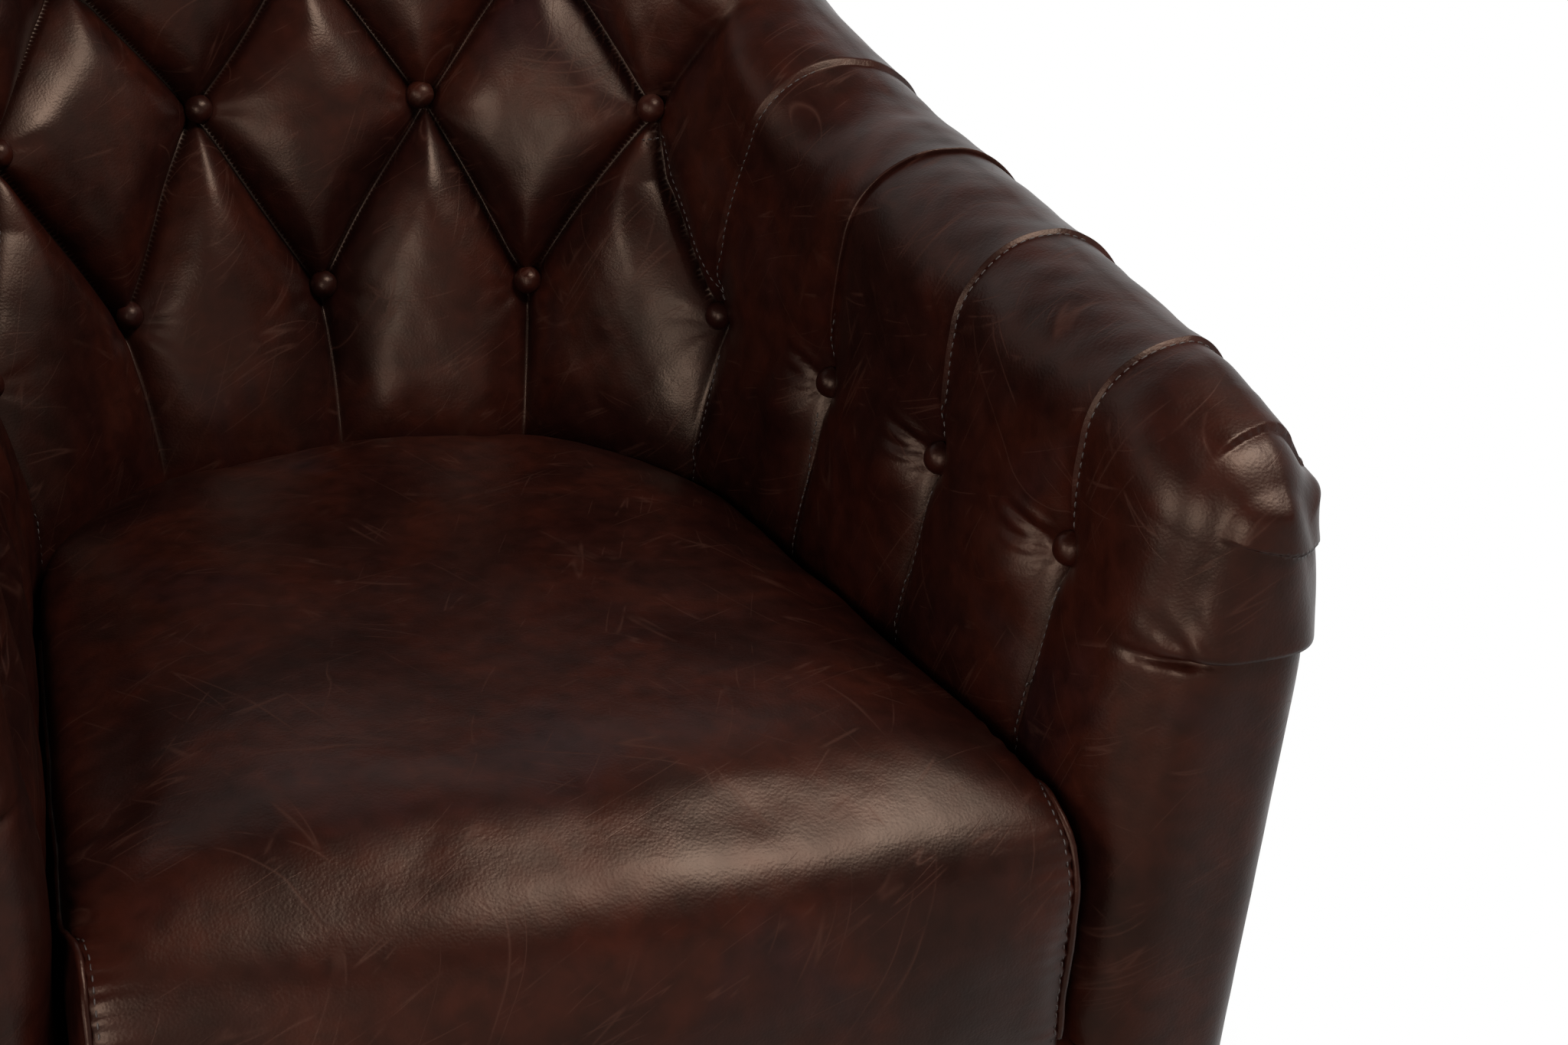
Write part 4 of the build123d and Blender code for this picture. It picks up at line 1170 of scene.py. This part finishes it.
def tube(points, radius, spokes):
    """Vertices and faces of a closed tube along points."""
    tangent = unit(np.gradient(points, axis=0))
    across = unit(np.cross(tangent, tube_side))
    over = np.cross(tangent, across)
    angles = np.linspace(0, 2 * pi, spokes, endpoint=False)[:, None]
    ring = across[:, None] * np.cos(angles) + over[:, None] * np.sin(angles)
    vertices = points[:, None] + ring * np.broadcast_to(radius, len(points))[:, None, None]
    return vertices.reshape(-1, 3), [face[::-1] for face in ring_faces(len(points), spokes)]


def stitches(points, normals):
    """Vertices and faces of a row of stitches along points on a surface."""
    marks = even_route(points, stitch_step)
    reach = np.array(stitch_reach)[:, None] * stitch_length
    lift = np.array(stitch_lift)[:, None] * stitch_radius
    thick = np.array(stitch_thick) * stitch_radius
    tangent = unit(np.gradient(marks, axis=0))
    nearest = np.argmin(np.linalg.norm(marks[:, None] - points[None], axis=-1), axis=1)
    sewn = []
    for mark, along, normal in zip(marks, tangent, normals[nearest]):
        sewn.append(tube(mark + along * reach + normal * lift, thick, stitch_spokes))
    return gathered(sewn)


def seam_route(side):
    """Route of a side seam: along the top edge of the side, over the front and down to the foot."""
    seam_end = cushion_front_y + cushion_front_run * seam_end_share
    side_y = np.linspace(arm_start_y - seam_start, seam_end, seam_side_marks)
    lowered = smooth_step(side_y, *seam_lowering, cushion_front_y)
    x = cushion_half_width(side_y) - seam_inset * (1 - lowered)
    level = cushion_level(seam_inset, x, side_y) - seam_drop_low * lowered
    low = np.linspace(cushion_round_level, pad_foot + seam_foot, seam_front_marks)
    front_x = side * (cushion_half_width(cushion_front_y) - seam_inset)
    return np.concatenate([stacked(side * x, side_y, level), stacked(front_x, cushion_front_y, low)])


# Filling of the seat cushion, and the gathers along its seams
cushion_voxel = 5.0
cushion_smoothing = 0.5
blank_passes = 10
settling_passes = 14
cushion_pressure = 4.0
cushion_frames = 18
cushion_held = 8
cushion_cap = 7.0
cushion_side_cap = 2.5
cap_inside = (10.0, 110.0)
cap_levels = (seat_edge - 40, seat_edge + 10)
cloth_values = {
    "quality": 5,
    "mass": 0.4,
    "tension_stiffness": 20,
    "compression_stiffness": 20,
    "shear_stiffness": 8,
    "bending_stiffness": 2.0,
    "use_pressure": True,
    "uniform_pressure_force": cushion_pressure,
}
gather_length = 10.0
gather_rise = 1.0
gather_slope = 0.7
gather_wave = (45, 9)
gather_even = 0.6
gather_change = 0.4
gather_change_wave = (60, 10)
gather_reach = 13.0
gather_gap = (2.0, 6.0)
gather_full = 5
gather_front = (-150.0, -60.0)
gather_shade = 0.35
cushion_waves = 0.5
cushion_hollows = 0.9
cushion_hollow_wave = (150, 14)


def inflate(piece, held):
    """Swells a piece with Blender's cloth and returns where its vertices go. Held vertices stay."""
    group = piece.vertex_groups.new(name="held")
    group.add([int(index) for index in held], 1.0, "REPLACE")
    cloth = piece.modifiers.new("cloth", "CLOTH")
    for name, value in cloth_values.items():
        setattr(cloth.settings, name, value)
    cloth.settings.vertex_group_mass = group.name
    cloth.settings.effector_weights.gravity = 0
    cloth.collision_settings.use_collision = False
    cloth.point_cache.frame_start = 1
    cloth.point_cache.frame_end = cushion_frames
    scene = bpy.context.scene
    for number in range(1, cushion_frames + 1):
        scene.frame_set(number)
    graph = bpy.context.evaluated_depsgraph_get()
    swollen = vertex_array(piece.evaluated_get(graph).data)
    piece.modifiers.remove(cloth)
    piece.vertex_groups.remove(group)
    scene.frame_set(1)
    return swollen


def swollen_cushion():
    """The cushion's form, evenly meshed and swollen by simulation, before its fine relief."""
    blank = cushion_blank()
    remesh = blank.modifiers.new("remesh", "REMESH")
    remesh.mode = "VOXEL"
    remesh.voxel_size = cushion_voxel * MM
    add_smoothing(blank, cushion_smoothing, blank_passes)
    piece = evaluated_copy(blank, "cushion_swelling")
    rest = vertex_array(piece.data)
    held = np.nonzero(rest[:, 2] < pad_foot + cushion_held)[0]
    move = inflate(piece, held) - rest
    length = np.linalg.norm(move, axis=1, keepdims=True)
    from_side = cushion_half_width(rest[:, 1]) - np.abs(rest[:, 0])
    inside = np.minimum(from_side, rest[:, 1] - cushion_front_y)
    share = smooth_step(inside, *cap_inside) * smooth_step(rest[:, 2], *cap_levels)
    cap = blend(cushion_side_cap, cushion_cap, share)[:, None]
    move *= cap * np.tanh(length / cap) / np.maximum(length, tiny)
    rest = rest + move
    set_vertices(piece.data, rest)
    add_smoothing(piece, cushion_smoothing, settling_passes)
    subdivide = piece.modifiers.new("subdivide", "SUBSURF")
    subdivide.levels = 1
    subdivide.render_levels = 1
    return evaluated_copy(piece, "seat_cushion_cover")


def build_cushion(leather, thread):
    """Loose seat cushion, with gathers and a raised stitched seam along its sides and front."""
    cover = swollen_cushion()
    mesh = cover.data
    points = vertex_array(mesh)
    seam_gap = cushion_half_width(points[:, 1]) - np.abs(points[:, 0])
    low_front = smooth_step(-points[:, 1], *gather_front, -cushion_front_y)
    slanting = 2 * pi * (points[:, 2] + gather_slope * points[:, 1]) / gather_length
    waves = np.sin(slanting + ripple(points, *gather_wave))
    folds = np.exp(-np.maximum(seam_gap - gather_full, 0) / gather_reach)
    folds = folds * smooth_step(seam_gap, *gather_gap) * low_front
    change = gather_even + gather_change * ripple(points, *gather_change_wave)
    rise = gather_rise * waves * folds * change + cushion_waves * unevenness(points)
    rise += cushion_hollows * ripple(points, *cushion_hollow_wave)
    normals = np.empty(3 * len(points))
    mesh.vertices.foreach_get("normal", normals)
    set_vertices(mesh, points + normals.reshape(-1, 3) * rise[:, None])
    finish_piece(cover, leather, "cushion")
    set_crown(cover, 1 - gather_shade * folds)
    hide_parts("seat_cushion")
    tree = surface_tree(mesh)
    for side, name in ((1, "left"), (-1, "right")):
        line, facing = on_surface(tree, even_route(seam_route(side), seam_step))
        line = smoothed(line, seam_line_width) + smoothed(facing, seam_facing_width) * seam_lift
        thick = piping_radius * (1 + piping_share * ripple(line, *piping_wave))
        piping = tube(line, thick, piping_spokes)
        seam = new_piece(f"cushion_{name}_seam", *piping, leather, "cushion_leather", "cushion")
        set_crown(seam)
        beside = line - np.array([side * seam_sewing_gap, 0, 0])
        sewn = stitches(*on_surface(tree, beside))
        new_piece(f"cushion_{name}_stitches", *sewn, thread, "twine", "cushion")


# Materials


class Look:
    """A new material, with short ways to add nodes to it."""

    def __init__(self, name):
        self.material = bpy.data.materials.new(name)
        self.material.use_nodes = True
        self.nodes = self.material.node_tree.nodes
        self.shader = self.nodes["Principled BSDF"]
        self.place = self.add("TexCoord").outputs["Object"]

    def add(self, kind, inputs=None, **settings):
        """A new node with some settings and inputs."""
        node = self.nodes.new("ShaderNode" + kind)
        for name, value in settings.items():
            setattr(node, name, value)
        self.feed(node, inputs or {})
        return node

    def feed(self, node, inputs):
        """Sets inputs of a node to values, or links them to sockets of other nodes."""
        for name, value in inputs.items():
            if isinstance(value, bpy.types.NodeSocket):
                self.material.node_tree.links.new(value, node.inputs[name])
            else:
                node.inputs[name].default_value = value

    def noise(self, scale, detail=4.0, distortion=0.0, place=None):
        """A noise texture over the place in space."""
        inputs = {"Scale": scale, "Detail": detail, "Distortion": distortion}
        inputs["Vector"] = self.place if place is None else place
        return self.add("TexNoise", inputs).outputs["Fac"]

    def ramp(self, value, *stops):
        """Colours spread over a value. Stops are pairs of a position and a colour or one level."""
        node = self.add("ValToRGB", {"Fac": value})
        elements = node.color_ramp.elements
        while len(elements) < len(stops):
            elements.new(0.5)
        for element, (position, colour) in zip(elements, stops):
            element.position = position
            element.color = (*np.broadcast_to(colour, 3), 1.0)
        return node.outputs["Color"]

    def mix(self, kind, factor, first, second):
        """Two colours mixed. Each value is a number, a colour or a socket."""
        inputs = {"Factor": factor, "A": first, "B": second}
        return self.add("Mix", inputs, data_type="RGBA", blend_type=kind).outputs["Result"]

    def combine(self, operation, first, second):
        """Two values added, multiplied or compared, each a number or a socket."""
        return self.add("Math", {0: first, 1: second}, operation=operation).outputs[0]

    def stretched(self, turn, stretch):
        """The place in space turned and stretched, for marks that run one way."""
        inputs = {"Vector": self.place, "Rotation": turn, "Scale": [1 / share for share in stretch]}
        return self.add("Mapping", inputs, vector_type="TEXTURE").outputs["Vector"]

    def bump(self, height, strength, distance):
        """Fine relief, with its distance in metres."""
        inputs = {"Height": height, "Strength": strength, "Distance": distance}
        self.feed(self.shader, {"Normal": self.add("Bump", inputs).outputs[0]})

    def coat(self, colour, roughness):
        """Colour and roughness of the surface."""
        self.feed(self.shader, {"Base Color": colour, "Roughness": roughness})


# Scratches: a set for each turn, its scales a step finer than those of the set before
scratch_turns = ((0.3, 0.5, 0.4), (1.1, -0.4, 2.0), (-0.7, 0.9, 1.2), (0.2, -1.0, 2.7))
scratch_stretch = (1.0, 0.05, 0.05)
scratch_scale = 34.0
scratch_scale_step = 5.0
scratch_length_scale = 17.0
scratch_length_step = 6.0
scratch_colour = (0.034, 0.013, 0.009, 1)
scratch_strength = 0.42
scratch_roughness = 0.08
scratch_depth = 0.4

# Leather and thread
leather_browns = (
    (0.28, (0.0050, 0.0012, 0.0009)),
    (0.45, (0.0086, 0.0020, 0.0014)),
    (0.58, (0.0144, 0.0029, 0.0016)),
    (0.72, (0.0086, 0.0025, 0.0025)),
)
leather_shine = 0.155
leather_shine_tint = (1.0, 0.72, 0.56, 1)
pore_scale = 720.0
creasing_share = 1.5
thread_browns = ((0.3, (0.006, 0.0025, 0.002)), (0.7, (0.02, 0.009, 0.006)))
thread_roughness = 0.6

# Metal, plastic, card, wood and cloth
wear_spread = (0.8, 1.2)
grain_turn = (0.05, 0.03, 0.0)
grain_pores = 0.8
grain_pore_shine = 0.12
weave_floor = 0.35
slub_share = 0.6
cloth_roughness = 0.9


def scratches(look):
    """Thin, nearly straight scratches in several directions, each broken into short lengths."""
    lines = None
    for number, turn in enumerate(scratch_turns):
        across = look.stretched(turn, scratch_stretch)
        wavy = look.noise(scratch_scale + scratch_scale_step * number, detail=2.0, place=across)
        thin = look.ramp(wavy, (0.494, 0.0), (0.5, 1.0), (0.506, 0.0))
        lengths = look.noise(scratch_length_scale + scratch_length_step * number, detail=3.0)
        short = look.combine("MULTIPLY", thin, look.ramp(lengths, (0.5, 0.0), (0.6, 1.0)))
        lines = short if lines is None else look.combine("MAXIMUM", lines, short)
    return lines


def leather_material(name):
    """Dark waxed leather: mottled browns, folds darkened partly by antiqued wax and partly by painted shade,
    fine pale scratches and a tight grain.
    """
    look = Look(name)
    browns = look.ramp(look.noise(scale=9.0, detail=5.0, distortion=0.6), *leather_browns)
    mottle = look.ramp(look.noise(scale=70.0, distortion=0.4), (0.3, 0.7), (0.7, 1.3))
    colour = look.mix("MULTIPLY", 1.0, browns, mottle)
    # The crown attribute darkens the colour at the folds: partly the wax that antiqued leather keeps there,
    # partly painted shade.
    crown = look.add("Attribute", attribute_name="crown").outputs["Fac"]
    colour = look.mix("MULTIPLY", 1.0, colour, look.ramp(crown, (0.1, 0.35), (0.75, 1.0)))
    lines = scratches(look)
    colour = look.mix("MIX", look.combine("MULTIPLY", lines, scratch_strength), colour, scratch_colour)
    shine = look.ramp(look.noise(scale=18.0), (0.3, 0.30), (0.7, 0.42))
    look.coat(colour, look.combine("ADD", shine, look.combine("MULTIPLY", lines, scratch_roughness)))
    look.feed(look.shader, {"Specular IOR Level": leather_shine, "Specular Tint": leather_shine_tint})
    grain = {"Vector": look.place, "Scale": pore_scale}
    pores = look.add("TexVoronoi", grain, feature="SMOOTH_F1").outputs["Distance"]
    creasing = look.combine("MULTIPLY", look.noise(scale=150.0, distortion=0.6), creasing_share)
    height = look.combine("ADD", pores, creasing)
    height = look.combine("SUBTRACT", height, look.combine("MULTIPLY", lines, scratch_depth))
    look.bump(height, strength=0.16, distance=0.0005)
    return look.material


def thread_material():
    """Waxed brown sewing thread."""
    look = Look("sewing_thread")
    strands = look.noise(scale=900.0, detail=2.0)
    look.coat(look.ramp(strands, *thread_browns), thread_roughness)
    return look.material


def mottled_material(name, dark, pale, scale, roughness, metallic=0.0):
    """A surface that varies between two colours, with a slight unevenness."""
    look = Look(name)
    patches = look.ramp(look.noise(scale, detail=6.0, distortion=0.3), (0.3, dark), (0.7, pale))
    wear = look.noise(scale=4 * scale, detail=5.0)
    smooth, rough = (share * roughness for share in wear_spread)
    look.coat(patches, look.ramp(wear, (0.3, smooth), (0.7, rough)))
    look.feed(look.shader, {"Metallic": metallic})
    look.bump(wear, strength=0.1, distance=0.0003)
    return look.material


def wood_material(name, dark, pale, stretch, roughness):
    """Wood with grain drawn out along one direction, and short pores."""
    look = Look(name)
    drawn = look.stretched(grain_turn, stretch)
    rings = look.noise(scale=14.0, detail=5.0, distortion=1.2, place=drawn)
    rings = look.ramp(rings, (0.35, dark), (0.65, pale))
    pores = look.noise(scale=190.0, detail=3.0, place=drawn)
    colour = look.mix("MULTIPLY", grain_pores, rings, look.ramp(pores, (0.35, 0.6), (0.55, 1.0)))
    look.coat(colour, look.ramp(pores, (0.3, roughness + grain_pore_shine), (0.7, roughness)))
    look.bump(pores, strength=0.15, distance=0.0004)
    return look.material


def woven_material(name, dark, pale, threads):
    """Plain cloth with threads crossing in three directions, so that every face shows a weave."""
    look = Look(name)
    inputs = {"Vector": look.place, "Scale": threads, "Distortion": 0.6, "Detail": 2.0}
    weave = None
    for direction in ("X", "Y", "Z"):
        thread = look.add("TexWave", inputs, bands_direction=direction).outputs["Fac"]
        if weave is None:
            weave = thread
        else:
            weave = look.combine("MULTIPLY", weave, look.combine("ADD", thread, weave_floor))
    slubs = look.combine("ADD", weave, look.combine("MULTIPLY", look.noise(scale=60.0), slub_share))
    look.coat(look.ramp(slubs, (0.2, dark), (0.9, pale)), cloth_roughness)
    look.bump(weave, strength=0.4, distance=0.0005)
    return look.material


def dress_frame():
    """Gives every solid that shows a material of its own kind, found by a word in its name."""
    leg_wood = wood_material(
        "stained_leg_wood", (0.010, 0.005, 0.003), (0.030, 0.014, 0.008), (1.0, 1.0, 0.08), 0.32
    )
    frame_wood = wood_material("beech", (0.30, 0.19, 0.10), (0.47, 0.33, 0.20), (0.1, 0.6, 0.6), 0.55)
    steel = mottled_material("zinc_plated_steel", (0.26, 0.26, 0.27), (0.40, 0.40, 0.40), 60.0, 0.4, 1.0)
    kinds = {
        "leg_glides": mottled_material("black_plastic", 0.012, 0.022, 90.0, 0.45),
        "leg_bolts": steel,
        "leg_plates": steel,
        "corner_block_screws": steel,
        "webbing": woven_material("jute_webbing", (0.05, 0.03, 0.015), (0.22, 0.15, 0.08), 160.0),
        "lining": woven_material("hessian", (0.09, 0.06, 0.03), (0.34, 0.25, 0.14), 120.0),
        "seat_deck": woven_material("deck_cloth", (0.010, 0.008, 0.007), (0.045, 0.036, 0.030), 260.0),
        "dust_cover": woven_material("dust_cloth", (0.006, 0.006, 0.006), (0.026, 0.026, 0.027), 320.0),
        "button_twines": woven_material("linen_twine", (0.20, 0.15, 0.09), (0.46, 0.38, 0.26), 300.0),
        "twine_toggles": mottled_material("toggle_card", (0.24, 0.17, 0.10), (0.36, 0.27, 0.17), 120.0, 0.85),
        "leg_front": leg_wood,
        "leg_back": leg_wood,
    }
    for name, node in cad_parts.items():
        finish = next((kinds[word] for word in kinds if word in name), frame_wood)
        node.data.materials.clear()
        node.data.materials.append(finish)


# Stage, in metres
stage_size = 6.0
stage_behind = 4.2
wall_tall = 3.0
world_strength = 0.08
paper_grey = (0.46, 0.46, 0.46, 1)
paper_roughness = 0.9
lamp_colour = (1.0, 0.95, 0.90)

# Lamps: place, point they face, width, height and power
lamps = {
    "softbox_front": ((-0.95, -1.75, 0.95), (0, 0, 0.55), 0.4, 1.0, 26.0),
    "softbox_side": ((-1.7, -0.7, 1.0), (0.1, 0, 0.55), 0.6, 0.9, 26.0),
    "softbox_over": ((0.9, -0.75, 2.2), (0.75, -0.05, 0.45), 1.1, 0.6, 66.0),
}

# Camera
camera_place = (-0.2895, -1.1404, 0.9888)
camera_tilt = radians(62.1)
camera_turn = radians(-15.9)
camera_lens = 48.53
camera_sensor = 36.0
camera_shift = (0.2021, 0.0818)

# Where the paper's own white begins and is full: to the right of the chair, and away from its front
white_right = (0.30, 0.62)
white_away = (0.8, 1.5)
shadow_middle = (-0.15, -0.35, 0.0)


def paper_material():
    """White paper of the floor and walls. It takes the chair's shadow, and is plain white farther away."""
    look = Look("white_paper")
    look.coat(paper_grey, paper_roughness)
    rays = look.add("LightPath").outputs
    sharp = look.combine("MAXIMUM", rays["Is Glossy Ray"], rays["Is Transmission Ray"])
    seen = look.combine("MAXIMUM", rays["Is Camera Ray"], sharp)
    across = look.add("SeparateXYZ", {0: look.place}).outputs["X"]
    away = look.add("VectorMath", {0: look.place, 1: shadow_middle}, operation="DISTANCE").outputs["Value"]
    levels = []
    for measure, (first, full) in ((across, white_right), (away, white_away)):
        inputs = {"Value": measure, "From Min": first, "From Max": full}
        levels.append(look.add("MapRange", inputs, interpolation_type="SMOOTHSTEP").outputs["Result"])
    share = look.combine("MULTIPLY", seen, look.combine("MAXIMUM", *levels))
    glow = look.add("Emission", {"Strength": 1.0}).outputs[0]
    both = look.add("MixShader", {"Fac": share, 1: look.shader.outputs[0], 2: glow})
    look.feed(look.nodes["Material Output"], {"Surface": both.outputs[0]})
    return look.material


def lamp(name, place, target, width, tall, power):
    """A soft lamp of some width and height that faces a point."""
    light = bpy.data.lights.new(name, "AREA")
    light.shape = "RECTANGLE"
    light.size = width
    light.size_y = tall
    light.energy = power
    light.color = lamp_colour
    holder = new_object(name, light)
    holder.location = place
    holder.rotation_euler = (Vector(target) - Vector(place)).to_track_quat("-Z", "Y").to_euler()


def build_stage():
    """Floor, walls, lamps, world and camera."""
    scene = bpy.context.scene
    scene.view_settings.view_transform = "Standard"
    scene.world = bpy.data.worlds.new("studio")
    scene.world.use_nodes = True
    background = scene.world.node_tree.nodes["Background"]
    background.inputs["Color"].default_value = (1, 1, 1, 1)
    background.inputs["Strength"].default_value = world_strength
    front = [(-stage_size, -stage_size), (stage_size, -stage_size)]
    corners = front + [(stage_size, stage_behind), (-stage_size, stage_behind)]
    low = [(x, y, 0) for x, y in corners]
    high = [(x, y, wall_tall if y < 0 else 2 * wall_tall) for x, y in corners]
    walls = [(side, (side + 1) % 4, (side + 1) % 4 + 4, side + 4) for side in range(4)]
    paper = paper_material()
    for name, points, faces in (("floor", low, [(0, 1, 2, 3)]), ("backdrop", low + high, walls)):
        mesh = new_mesh(name, np.array(points) / MM, faces)
        mesh.materials.append(paper)
        sheet = new_object(name, mesh)
    for name, values in lamps.items():
        lamp(name, *values)
    camera = bpy.data.cameras.new("camera")
    camera.lens = camera_lens
    camera.sensor_width = camera_sensor
    camera.shift_x, camera.shift_y = camera_shift
    scene.camera = new_object("camera", camera)
    scene.camera.location = camera_place
    scene.camera.rotation_euler = (camera_tilt, 0, camera_turn)


leather = leather_material("tub_leather")
thread = thread_material()
build_stage()
build_cushion(leather, thread)
build_back(leather, thread)
build_arm(1, "left", leather, thread)
build_arm(-1, "right", leather, thread)
build_buttons(leather)
build_outside("outside_back_leather", -corner_end, corner_end, leather, "outside_back_panel")
build_outside("outside_left_arm_leather", corner_end, arm_pad_end, leather, "outside_arm_panel_left")
build_outside("outside_right_arm_leather", -corner_end, -arm_pad_end, leather, "outside_arm_panel_right")
build_border(leather)
dress_frame()
